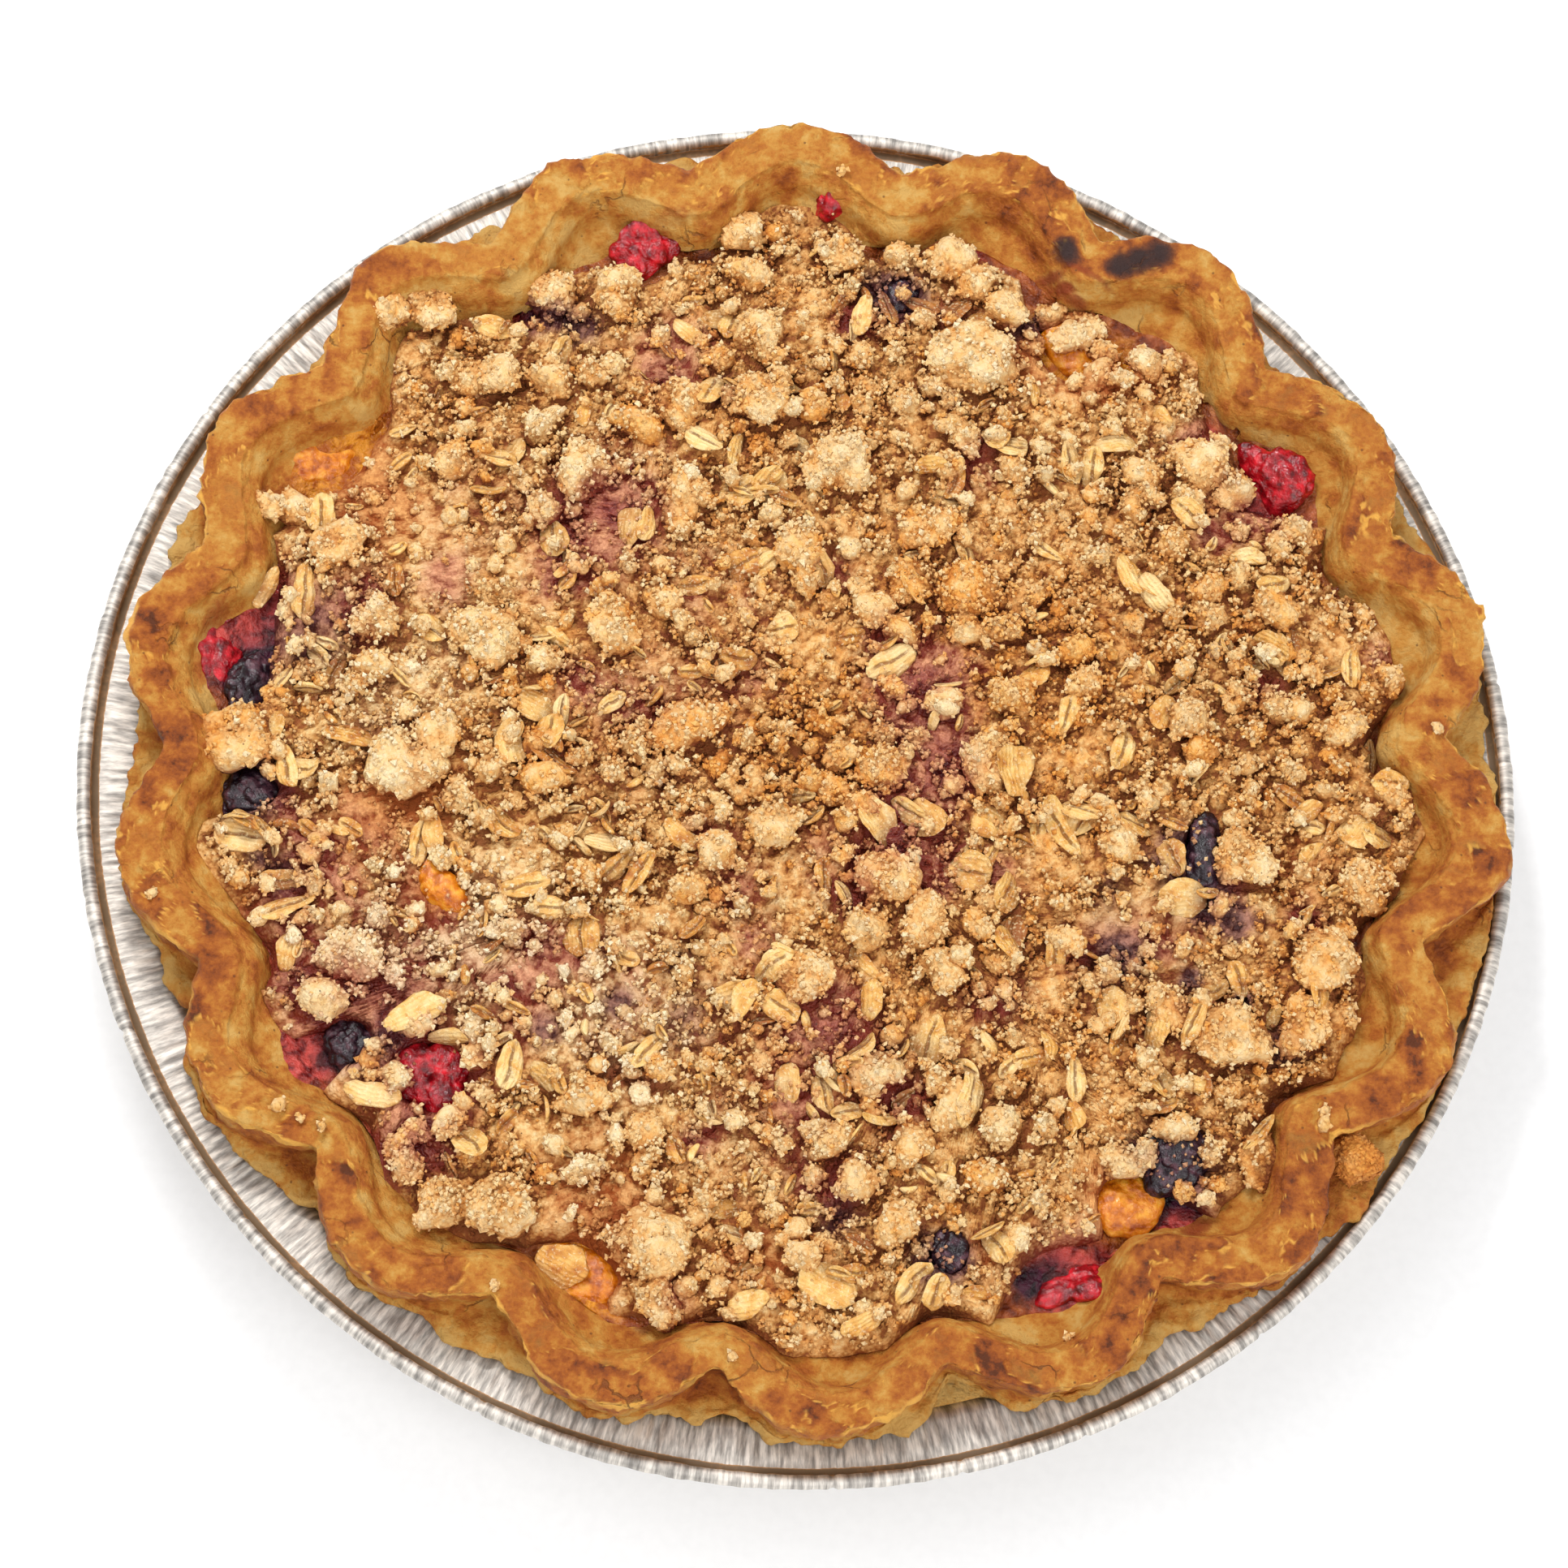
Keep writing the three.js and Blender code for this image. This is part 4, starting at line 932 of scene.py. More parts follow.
# %% Fruit: forms
def fruit_points(ball, kind, size, seed):
    random = np.random.default_rng(seed)
    points = ball * np.array(size) / 2
    outward = points / np.linalg.norm(points, axis=1, keepdims=True)
    place = points + random.uniform(0, 500, 3)
    if kind == "strawberry":
        folds = 0.5 - 2.2 * np.abs(layered_noise(place, 3.4, 3, 61))
        seeds = 0.7 * (grain_domes(place, 1.7, 62) - 0.5)
        relief = 2.2 * smooth_noise(place, 4.8, 66) + 0.9 * folds + seeds
    elif kind == "mango":
        relief = 1.2 * smooth_noise(place, 5.5, 63) + 0.7 * layered_noise(place, 2.2, 3, 64)
    else:
        relief = 1.1 * layered_noise(place, 3.6, 3, 67) + 1.1 * (grain_domes(place, 1.5, 65) - 0.5)
    return points + outward * relief[:, None]


def fruit_material(name, dark, middle, light, wet):
    """Cooked fruit: soft flesh that light enters, under a film of syrup that gives sharp highlights."""
    material, tree, shader, vector = new_material(name)
    flesh = add_node(tree, "TexNoise", {"Scale": per_mm(1.8), "Detail": 6.0}, vector)
    fibre = add_node(tree, "TexNoise", {"Scale": per_mm(1.1), "Detail": 4.0}, vector)
    colour = add_node(tree, "ValToRGB", {"stops": [(0.32, dark), (0.5, middle), (0.68, light)]},
                      [("Fac", flesh)])
    film = add_node(tree, "MapRange", {"To Min": wet[0], "To Max": wet[1]}, [("Value", fibre)])
    bump = add_node(tree, "Bump", {"Strength": 0.9, "Distance": 0.6 * MM}, [("Height", fibre)])
    set_up(tree, shader, {"IOR": 1.45, "Specular IOR Level": 0.6, "Subsurface Weight": 0.15,
                          "Subsurface Radius": (1.0, 0.25, 0.2), "Subsurface Scale": 1.2 * MM},
           [("Base Color", colour), ("Roughness", film), ("Normal", bump)])
    return material


FRUIT_FINISH = {
    "strawberry": fruit_material("cooked_strawberry", "#56040A", "#980A16", "#D4202E", (0.03, 0.10)),
    "mango": fruit_material("cooked_mango", "#9A4406", "#D07612", "#EBA238", (0.03, 0.12)),
    "dark_berry": fruit_material("cooked_dark_berry", "#10060C", "#24101C", "#5E3C46", (0.16, 0.45)),
}


def add_fruit(kind, number, entry, seed, ball, faces):
    angle, radius, height, length, width, tall, twist = entry
    points = fruit_points(ball, kind, (length, width, tall), seed)
    if radius > FILL_LINE_RADIUS - 1:
        points[:, 2] -= DOUGH_SLOPE * points[:, 1]
    points = turned(points, angle + 90 + twist) + polar(angle, radius, height, CRUST_CENTRE)
    name = f"{kind}_{number}"
    make_piece(f"{name}_cooked", points, [faces], FRUIT_FINISH[kind], [name])
    return points


ball, ball_faces = unit_ball(5)
fruit_tops = []
for kind, entries in FRUIT.items():
    for number, entry in enumerate(entries, 1):
        seed = FIRST_FRUIT_SEED + len(fruit_tops)
        fruit_tops.append(add_fruit(kind, number, entry, seed, ball, ball_faces))

# %% [markdown]
# ## The crumble bed
# Crumble is rubbed from flour, butter, sugar and oats. Most of it bakes to a granular layer, and the
# lumps and flakes lie on that. The layer could be thousands of loose grains, but they would cost far
# more than they show. So it is one closed sheet whose surface is packed domes of three sizes, melted
# lower where juice soaked in. It is laid on a square grid bent to a disc, which keeps the mesh as fine
# at the edge as in the middle.

# %% Bed: outline and height
FILLED_POCKETS = [(141, 9, 4.5), (5, 8, 3.5), (196, 8, 3.5), (100, 9, 3)]
# Angle, half width and radius where filling is left bare.
BAYS = [(68, 9, 86), (43, 7, 91), (154, 8, 95), (177, 8, 94), (192, 3, 92), (221, 3, 90), (254, 5, 92),
        (303, 8, 92), (314, 5, 88), (116, 4, 95)]


def crumb_edge(angle):
    """Radius of the crumble's edge, inside the rope."""
    spill = sum(more * dip(angle, at, half) for at, half, more in FILLED_POCKETS)
    reach = 101 + spill + 1.5 * wander(angle, 8, 6)
    edge = np.minimum(rope_inner(angle) - 2.2, reach)
    for at, half, bare in BAYS:
        edge = np.minimum(edge, mix(edge, bare, np.sqrt(dip(angle, at, half))))
    return edge + 1.0 * layered_noise(polar(angle, FILL_LINE_RADIUS, 0), 5.0, 3, 71)


def bed_height(x, y):
    """The bed's smooth height: a low dome with slow waves."""
    radius = np.hypot(x - CRUST_CENTRE[0], y - CRUST_CENTRE[1])
    waves = np.sin(0.11 * x + 1) * np.sin(0.13 * y + 2) + np.sin(0.05 * x - 0.07 * y)
    return 33 + 2.8 * (1 - (radius / FILL_LINE_RADIUS) ** 2) + 0.45 * waves


def fruit_well(x, y, kinds=tuple(FRUIT)):
    """1 over a piece of those kinds of fruit, which the crumble leaves open, 0 a little way from it."""
    open_share = 0 * x
    for angle, radius, _, length, width, _, twist in (entry for kind in kinds for entry in FRUIT[kind]):
        middle = polar(angle, radius, 0, CRUST_CENTRE)
        turn = np.radians(angle + 90 + twist)
        along = (x - middle[0]) * np.cos(turn) + (y - middle[1]) * np.sin(turn)
        across = (y - middle[1]) * np.cos(turn) - (x - middle[0]) * np.sin(turn)
        away = np.hypot(along / (length / 2), across / (width / 2))
        open_share = np.maximum(open_share, np.clip((1.06 - away) / 0.3, 0, 1))
    return open_share


# %% Bed: mesh
BED_CELLS = 312
BED_FLOOR = 29.6


def disc_grid(cells):
    """(share of the edge's radius, angle in degrees) of a square grid pushed out to a disc."""
    across, along = np.meshgrid(np.linspace(-1, 1, cells), np.linspace(-1, 1, cells))
    wide = np.abs(across) > np.abs(along)
    share = np.where(wide, across, along)
    divisor = np.where(share == 0, 1, share)
    turn = np.where(wide, 45 * along / divisor, 90 - 45 * across / divisor)
    return np.abs(share), turn + np.where(share < 0, 180, 0)


def bed_relief(points, stain):
    """(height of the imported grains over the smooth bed, how far each point is from a crevice). Juice has
    melted the grains down."""
    dry = 1 - 0.5 * stain
    clots = grain_domes(points, 6.5, 72, flat=True) + 0.35 * smooth_noise(points * (1, 1, 0), 12.0, 70)
    lumps = grain_domes(points, 2.8, 75, flat=True)
    grains = grain_domes(points, 1.45, 78, flat=True)
    height = dry * (2.0 * (clots - 0.6) + 1.2 * (lumps - 0.6)) + 0.9 * (grains - 0.5)
    # The second value darkens the crevices between grains and lightens their tops: painted shade and
    # painted light.
    return height, 0.54 + 0.40 * (grains - 0.5) + 0.35 * (lumps - 0.6)


def bed_mesh():
    share, turn = disc_grid(BED_CELLS)
    edge = crumb_edge(turn)
    flat = polar(turn, share * edge, 0, CRUST_CENTRE)
    relief, peak = bed_relief(flat, wetness(flat))
    top = bed_height(flat[..., 0], flat[..., 1]) + relief
    under = np.where(edge > 96, dough_height(turn, edge) + 0.9, 30.0)
    slope = np.clip((1 - share) * edge / 4.0, 0, 1)
    top = mix(under, top, np.sin(slope * np.pi / 2) ** 0.8)
    top = mix(top, 30.4, fruit_well(flat[..., 0], flat[..., 1]))
    flat[..., 2] = np.maximum(top, BED_FLOOR + 0.3)
    return flat, peak


def grid_faces(cells):
    row, column = np.meshgrid(np.arange(cells - 1), np.arange(cells - 1), indexing="ij")
    first = row * cells + column
    return np.stack([first, first + 1, first + cells + 1, first + cells], axis=-1).reshape(-1, 4)


def grid_rim(cells):
    """Indices of the grid's outermost points, in order round it."""
    index = np.arange(cells * cells).reshape(cells, cells)
    return np.concatenate([index[0, :-1], index[:-1, -1], index[-1, :0:-1], index[:0:-1, 0]])


def bed_body(top):
    """The bed's top closed by a skirt and a flat underside."""
    points = top.reshape(-1, 3)
    rim = grid_rim(BED_CELLS)
    foot = points[rim].copy()
    foot[:, 2] = np.minimum(foot[:, 2] - 0.2, np.maximum(BED_FLOOR, foot[:, 2] - 1.2))
    first_foot = len(points)
    here = first_foot + np.arange(len(rim))
    after = first_foot + (np.arange(len(rim)) + 1) % len(rim)
    skirt = np.stack([np.roll(rim, -1), rim, here, after], axis=-1)
    middle = first_foot + len(rim)
    points = np.concatenate([points, foot, [[*CRUST_CENTRE, BED_FLOOR]]])
    return points, [grid_faces(BED_CELLS), skirt, fan(middle, after, here)]


# %% [markdown]
# ### Colour of crumble
# Crumble is matte: sugar, flour and butter baked to a crust of tiny grains. Where it stands up it is
# painted pale gold, with orange tips, and between the grains a warm brown: painted light on the tips
# and painted shade in the crevices, where light only bounces from grain to grain. One material dresses
# the bed, the lumps and the loose grains. It reads how toasted a piece is, where less than nothing means
# that it stayed floury and pale, how high a point stands over what is round it, which sets that painted
# light and shade, and the juice, weak and then strong.

# %% Crumble material
# These ramps run from crevices to tips: their dark low stops are painted shade, their pale high stops
# painted light.
DRY_STOPS = [(0.0, "#945424"), (0.2, "#C08A48"), (0.42, "#DDB070"), (0.66, "#E3C48A"), (0.95, "#E8D2A6")]
TOASTED_STOPS = [(0.0, "#7A3A12"), (0.2, "#A66020"), (0.42, "#C87E30"), (0.66, "#DE9A44"),
                 (0.95, "#E4B268")]
# Kind, stain at which the colour starts and is full, colour in crevices and on tips: painted shade and
# painted light.
JUICE_COLOURS = [("amber", 0.06, 0.42, "#9A4A12", "#E4A662"), ("berry", 0.06, 0.42, "#7A2412", "#DC9A72"),
                 ("plum", 0.06, 0.42, "#4A1C1C", "#B47C66"), ("amber", 0.6, 1.0, "#8A3A0A", "#CC8236"),
                 ("berry", 0.55, 0.95, "#580A0A", "#AE4640"), ("plum", 0.5, 0.9, "#240C10", "#684246")]


def crumble_material():
    material, tree, shader, vector = new_material("baked_oat_crumble")
    read = {key: add_node(tree, "Attribute", {"attribute_name": key}).outputs["Fac"]
            for key in ("toast", "peak", "berry", "plum", "amber")}
    mottle = add_node(tree, "TexNoise", {"Scale": per_mm(2.6), "Detail": 5.0}, vector)
    sand = add_node(tree, "TexVoronoi", {"Scale": per_mm(0.75)}, vector)
    grain = add_node(tree, "TexNoise", {"Scale": per_mm(0.4), "Detail": 3.0}, vector)
    # Lighter grain middles and darker grain edges: painted light and painted shade on each grain.
    tips = add_node(tree, "Math", {"operation": "MULTIPLY_ADD", 1: -0.40, 2: 0.16}, [(0, sand)])
    dust = add_node(tree, "Math", {"operation": "MULTIPLY_ADD", 1: 0.5, 2: -0.25}, [(0, grain)])
    lift = add_node(tree, "Math", {"operation": "ADD"}, [(0, tips), (1, dust)])
    high = add_node(tree, "Math", {"operation": "ADD", "use_clamp": True}, [(0, read["peak"]), (1, lift)])
    dry = add_node(tree, "ValToRGB", {"stops": DRY_STOPS}, [("Fac", high)])
    toasted = add_node(tree, "ValToRGB", {"stops": TOASTED_STOPS}, [("Fac", high)])
    patch = add_node(tree, "Math", {"operation": "MULTIPLY_ADD", 1: 2.0, 2: -0.92}, [(0, mottle)])
    heat = add_node(tree, "Math", {"operation": "ADD", "use_clamp": True},
                    [(0, read["toast"]), (1, patch)])
    colour = add_node(tree, "Mix", {"data_type": "RGBA"}, [(0, heat), (6, dry), (7, toasted)]).outputs[2]
    floury = add_node(tree, "ValToRGB",
                      {"stops": [(0.1, "#B4865A"), (0.45, "#E8CCA0"), (0.9, "#F2E2C2")]}, [("Fac", high)])
    raw = add_node(tree, "MapRange", {"From Min": 0.0, "From Max": -0.5, "To Min": 0.0, "To Max": 0.8},
                   [("Value", read["toast"])])
    colour = add_node(tree, "Mix", {"data_type": "RGBA"}, [(0, raw), (6, colour), (7, floury)]).outputs[2]
    for key, start, full, dark, light in JUICE_COLOURS:
        shades = add_node(tree, "ValToRGB", {"stops": [(0.15, dark), (0.9, light)]}, [("Fac", high)])
        share = add_node(tree, "MapRange",
                         {"From Min": start, "From Max": full, "To Max": 0.95}, [("Value", read[key])])
        colour = add_node(tree, "Mix", {"data_type": "RGBA"},
                          [(0, share), (6, colour), (7, shades)]).outputs[2]
    spice = add_node(tree, "TexVoronoi", {"Scale": per_mm(2.1)}, vector)
    speck = add_node(tree, "MapRange",
                     {"From Min": 0.05, "From Max": 0.09, "To Min": 0.85, "To Max": 0.0},
                     [("Value", spice)])
    colour = add_node(tree, "Mix", {"data_type": "RGBA", 7: linear("#4A2A16")},
                      [(0, speck), (6, colour)]).outputs[2]
    relief = add_node(tree, "Math", {"operation": "SUBTRACT"}, [(0, grain), (1, sand)])
    bump = add_node(tree, "Bump", {"Strength": 0.9, "Distance": 0.35 * MM}, [("Height", relief)])
    juice = add_node(tree, "Math", {"operation": "MAXIMUM"}, [(0, read["berry"]), (1, read["plum"])])
    gloss = add_node(tree, "MapRange", {"To Min": 0.8, "To Max": 0.32}, [("Value", juice)])
    set_up(tree, shader, {"Specular IOR Level": 0.4},
           [("Base Color", colour), ("Roughness", gloss), ("Normal", bump)])
    return material


# x, y, reach and how much more toasted than elsewhere.
TOASTED_PLACES = [(-52, -40, 18, -0.7), (-22, -52, 14, -0.45), (18, 80, 9, -0.4), (-60, 12, 12, -0.35),
                  (-76, -4, 10, -0.35), (30, -58, 14, -0.25), (-45, 46, 12, -0.2), (28, 30, 20, 0.25),
                  (0, 4, 14, 0.2), (-38, -3, 9, 0.2), (50, 32, 16, 0.15), (-20, 60, 12, 0.15),
                  (88, -30, 14, 0.2), (38, -72, 10, 0.15)]


def toast_at(points):
    """How toasted the topping is at a place: the far right of the pie browned the most."""
    toast = 0.34 + 0.18 * smooth_noise(points * (1, 1, 0), 22.0, 83) + 0.0012 * points[..., 0]
    for x, y, reach, more in TOASTED_PLACES:
        toast = toast + more * soft_spot(points, x, y, reach)
    return toast


crumble = crumble_material()
bed_top, bed_peak = bed_mesh()
bed_points, bed_faces = bed_body(bed_top)
print("Crumble bed:", len(bed_points), "points")

# %% [markdown]
# ## A map of the ground
# Loose pieces have to lie on what is under them. The shapes so far are drawn into a height map, seen
# from above. Each new piece looks up the ground under it, sinks in a little and raises the map, so
# that the next one lies on top. That is quicker and steadier than dropping thousands of bodies.

# %% Ground: map, look-up and stamp
MAP_STEP = 0.6
MAP_START = -114.0
MAP_CELLS = 390
HIGHEST_PERCH = 2.6            # how far over the bed's smooth height a piece may come to lie
ground = np.zeros((MAP_CELLS, MAP_CELLS))
oat_covered = np.zeros((MAP_CELLS, MAP_CELLS), dtype=bool)


def map_cell(place):
    return np.clip(((np.asarray(place) - MAP_START) / MAP_STEP).astype(int), 0, MAP_CELLS - 1)


def raise_ground(points):
    flat = points.reshape(-1, 3)
    np.maximum.at(ground, (map_cell(flat[:, 1]), map_cell(flat[:, 0])), flat[:, 2])


def fill_gaps():
    """Cells that no point fell in take the highest of their neighbours."""
    for _ in range(2):
        around = [np.roll(ground, shift, axis) for shift in (-1, 1) for axis in (0, 1)]
        empty = ground == 0
        ground[empty] = np.maximum.reduce(around)[empty]


def ground_at(x, y):
    return ground[map_cell(y), map_cell(x)]


def ground_under(x, y, reach):
    """Mean height of the ground within reach of a place, where the rope counts as low ground."""
    cells = max(1, int(round(reach / MAP_STEP)))
    row, column = int(map_cell(y)), int(map_cell(x))
    mean = ground[row - cells:row + cells + 1, column - cells:column + cells + 1].mean()
    return min(mean, bed_height(x, y) + HIGHEST_PERCH)


def ellipse_patch(x, y, length, width, turn):
    """Rows and columns of the map round a place, and 1 in the middle of an ellipse there, 0 at its edge."""
    cells = int(np.ceil(max(length, width) / 2 / MAP_STEP)) + 1
    row, column = int(map_cell(y)), int(map_cell(x))
    rows = slice(row - cells, row + cells + 1)
    columns = slice(column - cells, column + cells + 1)
    offsets = np.arange(-cells, cells + 1)
    across, along = np.meshgrid((column + offsets) * MAP_STEP + MAP_START - x,
                                (row + offsets) * MAP_STEP + MAP_START - y)
    angle = np.radians(turn)
    u = (across * np.cos(angle) + along * np.sin(angle)) / (length / 2)
    v = (along * np.cos(angle) - across * np.sin(angle)) / (width / 2)
    return rows, columns, 1 - u ** 2 - v ** 2


def stamp_dome(x, y, length, width, turn, top, thickness):
    """Raises the map by a low dome of that outline."""
    rows, columns, inside = ellipse_patch(x, y, length, width, turn)
    dome = np.where(inside > 0, top - thickness * (1 - np.sqrt(np.maximum(inside, 0))), 0)
    np.maximum(ground[rows, columns], dome, out=ground[rows, columns])


raise_ground(bed_points)
fill_gaps()
for shape in (crust_shown, jelly_points, *fruit_tops):
    raise_ground(shape)
fill_gaps()
print("Ground in mm:", round(float(ground.max()), 1), "at the highest")

# %% [markdown]
# ## What waits until all of it lies
# The colour of crumble depends on how high it stands over what is round it, and that is known only when
# the last crumb has fallen. So the shapes of the topping are kept in a list, and become pieces at the end.

# %% Topping: the list
topping = []


def lay_down(name, points, faces, material, values, rise, facets, nodes=()):
    """Keeps one piece of topping. Rise is how far, from 0 to 1, its high points stay clear of juice."""
    raise_ground(points)
    topping.append((name, points, faces, material, values, rise, facets, nodes))


def repeated(faces, count, corners, first=0):
    """The faces of one shape, repeated for count shapes of so many corners each."""
    starts = first + np.arange(count) * corners
    return (faces[None] + starts[:, None, None]).reshape(-1, faces.shape[1])


bed_values = {"toast": toast_at(bed_points) - 0.05,
              "peak": np.pad(bed_peak.ravel(), (0, len(bed_points) - bed_peak.size))}
lay_down("crumble_bed", bed_points, bed_faces, crumble, bed_values, 0.30,
         sum(len(group) for group in bed_faces), ["crumb_topping"])

# %% [markdown]
# ## Lumps of crumble
# When crumble bakes, grains stick together into lumps from the size of a walnut half down to coarse
# sand. Each lump is a ball stretched and pushed by noise, with a few flat faces where it broke. Angular
# grains are stuck all over its upper side, so that it has the ragged outline of the real thing. All
# lumps of one size are one piece. The large ones and many of the middle ones are placed where the
# photograph shows them, and the rest fall into the hollows.

# %% Lumps: forms
GRAIN_SIZE = 1.15
GRAIN_TONES = 0.22


def broken(points, random, cuts, depth):
    """Lumps (pieces, points, 3) with flat broken faces. Depth is where a face cuts, as a share."""
    reach = np.linalg.norm(points, axis=-1).max(axis=1)
    for _ in range(cuts):
        normal = random.normal(size=(len(points), 3))
        normal /= np.linalg.norm(normal, axis=1, keepdims=True)
        limit = (points * normal[:, None]).sum(-1).max(axis=1) * random.uniform(*depth, len(points))
        over = np.maximum((points * normal[:, None]).sum(-1) - limit[:, None], 0)
        points = points - 0.9 * over[..., None] * normal[:, None]
    return points * (reach / np.linalg.norm(points, axis=-1).max(axis=1))[:, None, None] ** 0.3


def lump_cores(ball, sizes, random, rough, coarse_grain):
    """Points (lumps, points, 3) of each lump about its own middle."""
    offsets = random.uniform(0, 900, (len(sizes), 1, 3))
    points = ball[None] * sizes[:, None] / 2
    points = broken(points, random, 4, (0.6, 0.92))
    outward = points / np.linalg.norm(points, axis=-1, keepdims=True)
    span = sizes.mean(axis=1)[:, None]
    swell = smooth_noise((points + offsets) / span[..., None], 0.42, 91)
    coarse = grain_domes(points + offsets, coarse_grain, 92)
    grains = grain_domes(points + offsets, GRAIN_SIZE, 95)
    relief = rough * span * swell + 0.34 * coarse_grain * (coarse - 0.6) + 0.5 * (grains - 0.6)
    return points + outward * relief[..., None]


GRAIN = np.array([(1, 0, 0), (-1, 0, 0), (0, 1, 0), (0, -1, 0), (0, 0, 1), (0, 0, -1)], dtype=float)
GRAIN_FACES = np.array([(0, 2, 4), (2, 1, 4), (1, 3, 4), (3, 0, 4),
                        (2, 0, 5), (1, 2, 5), (3, 1, 5), (0, 3, 5)])


def angular(sizes, random):
    """Angular grains (grains, corners, 3): eight faces each, with every corner pushed in or out and the
    grain rolled over."""
    shape = GRAIN[None] * random.uniform(0.75, 1.35, (len(sizes), len(GRAIN), 1))
    shape = shape * random.uniform(0.7, 1.15, (len(sizes), 1, 3)) * sizes[:, None, None] / 2
    frames, _ = np.linalg.qr(random.normal(size=(len(sizes), 3, 3)))
    frames *= np.sign(np.linalg.det(frames))[:, None, None]
    return np.einsum("gpk,gkj->gpj", shape, frames)


def places_on(cores, per_lump, random):
    """(places, which lump) of grains on the surface of each lump, most of them on its upper side."""
    count, corners = cores.shape[:2]
    lump = np.repeat(np.arange(count), per_lump)
    first, second = random.integers(0, corners, (2, count * per_lump))
    higher = cores[lump, first, 2] > cores[lump, second, 2]
    return cores[lump, np.where(higher, first, second)], lump


def lay_lumps(name, shape, lot, random, rough, coarse_grain, per_lump, grain_sizes):
    """Joins all lumps of one kind, with their grains, into one piece."""
    ball, faces = shape
    places, sizes, turns, toast = lot
    cores = turned(lump_cores(ball, sizes, random, rough, coarse_grain), turns) + places[:, None]
    at, lump = places_on(cores, per_lump, random)
    grains = angular(random.uniform(*grain_sizes, len(at)), random) + at[:, None]
    first = cores.shape[0] * cores.shape[1]
    tones = toast[lump] + random.normal(0, GRAIN_TONES, len(at))
    points = np.concatenate([cores.reshape(-1, 3), grains.reshape(-1, 3)])
    all_faces = np.concatenate([repeated(faces, len(cores), len(ball)),
                                repeated(GRAIN_FACES, len(at), len(GRAIN), first)])
    toasts = np.concatenate([np.repeat(toast, len(ball)), np.repeat(tones, len(GRAIN))])
    lay_down(name, points, [all_faces], crumble, {"toast": toasts}, 0.95, len(at) * len(GRAIN_FACES))


def settle(x, y, length, width, tall, turn, sink):
    """The place of a lump's middle, sunk into the ground under it, and the map raised by it."""
    rest_height = ground_under(x, y, 0.3 * min(length, width))
    middle = rest_height + tall * (0.5 - sink)
    stamp_dome(x, y, length * 0.95, width * 0.95, turn, middle + tall * 0.46, tall * 0.8)
    return (x, y, middle)


# %% Lumps: the large and middle ones, placed one by one
# x, y, length, width, height, turn from the x direction, and how toasted.
LARGE_LUMPS = [
    (18.5, 79.5, 16, 12.5, 6.5, 20, 0.2), (-38, -83.5, 12, 11, 6.5, 0, 0.35),
    (-47, -84, 10, 8, 5.5, 30, 0.3), (-12.7, -85.3, 13.5, 12, 6.5, 20, 0.3),
    (77, -36, 14, 12.5, 6.5, 10, 0.45), (91, -19, 12, 11, 6.5, 60, 0.5),
    (-20.5, 3, 17, 7.5, 5.5, 35, 0.7), (24, 36, 12, 9.5, 6, -10, 0.9), (32, 6, 12, 9, 4.5, 100, 0.3),
    (-95, -10, 15, 12, 7, 10, 0.65), (-2, 55, 13, 10, 6, 10, 0.3), (-44.6, 46.5, 11, 9, 5.5, -35, 0.3),
    (-17, 64.5, 11.5, 10.5, 6, 0, 0.5), (17, -17.5, 9.5, 9, 5.5, 0, 0.55), (13, 1.5, 8.5, 9, 5, 0, 0.8),
    (6, -37, 9.5, 8.5, 5, 30, 0.45), (76, -4, 12, 10, 5.5, 100, 0.3), (-10, -95, 11, 7, 5, -30, 0.4),
    (97, -5, 9, 10, 5.5, 0, 0.5), (-31, 62.5, 9, 9.5, 5.5, 0, 0.45), (-19, 77, 9, 10.5, 6, 0, 0.3),
    (-84, 70.5, 9, 8.5, 5.5, -20, 0.45), (-76.5, 73.5, 9.5, 6.5, 5, -30, 0.35),
    (-68, 61.5, 10, 6, 5, 0, 0.35), (-56, 80, 9, 8, 6, 20, 0.3), (-44.5, 81.5, 9.5, 8, 6, 100, 0.5),
    (-28, 44, 14, 6, 4.5, 100, 0.45), (-6, 37, 15, 6, 4.5, 105, 0.6), (-57, 14, 12.5, 12, 5.5, 0, 0.1),
    (-76, 14, 8.5, 8, 5.5, 0, 0.35), (-35.5, 19.5, 10, 9, 5.5, -20, 0.6), (-66, -11, 13, 12, 6, 0, 0.0),
    (24, -25, 12, 8, 4.5, 100, 0.25), (90, -31, 12, 9, 6, 80, 0.65), (33, 17, 9, 8, 5.5, 0, 0.75),
    (15, 46, 10, 9, 5, 40, 0.55), (-69, -45, 13, 9, 5, 0, -0.3), (60, 67, 10, 9, 5.5, 0, 0.35),
]
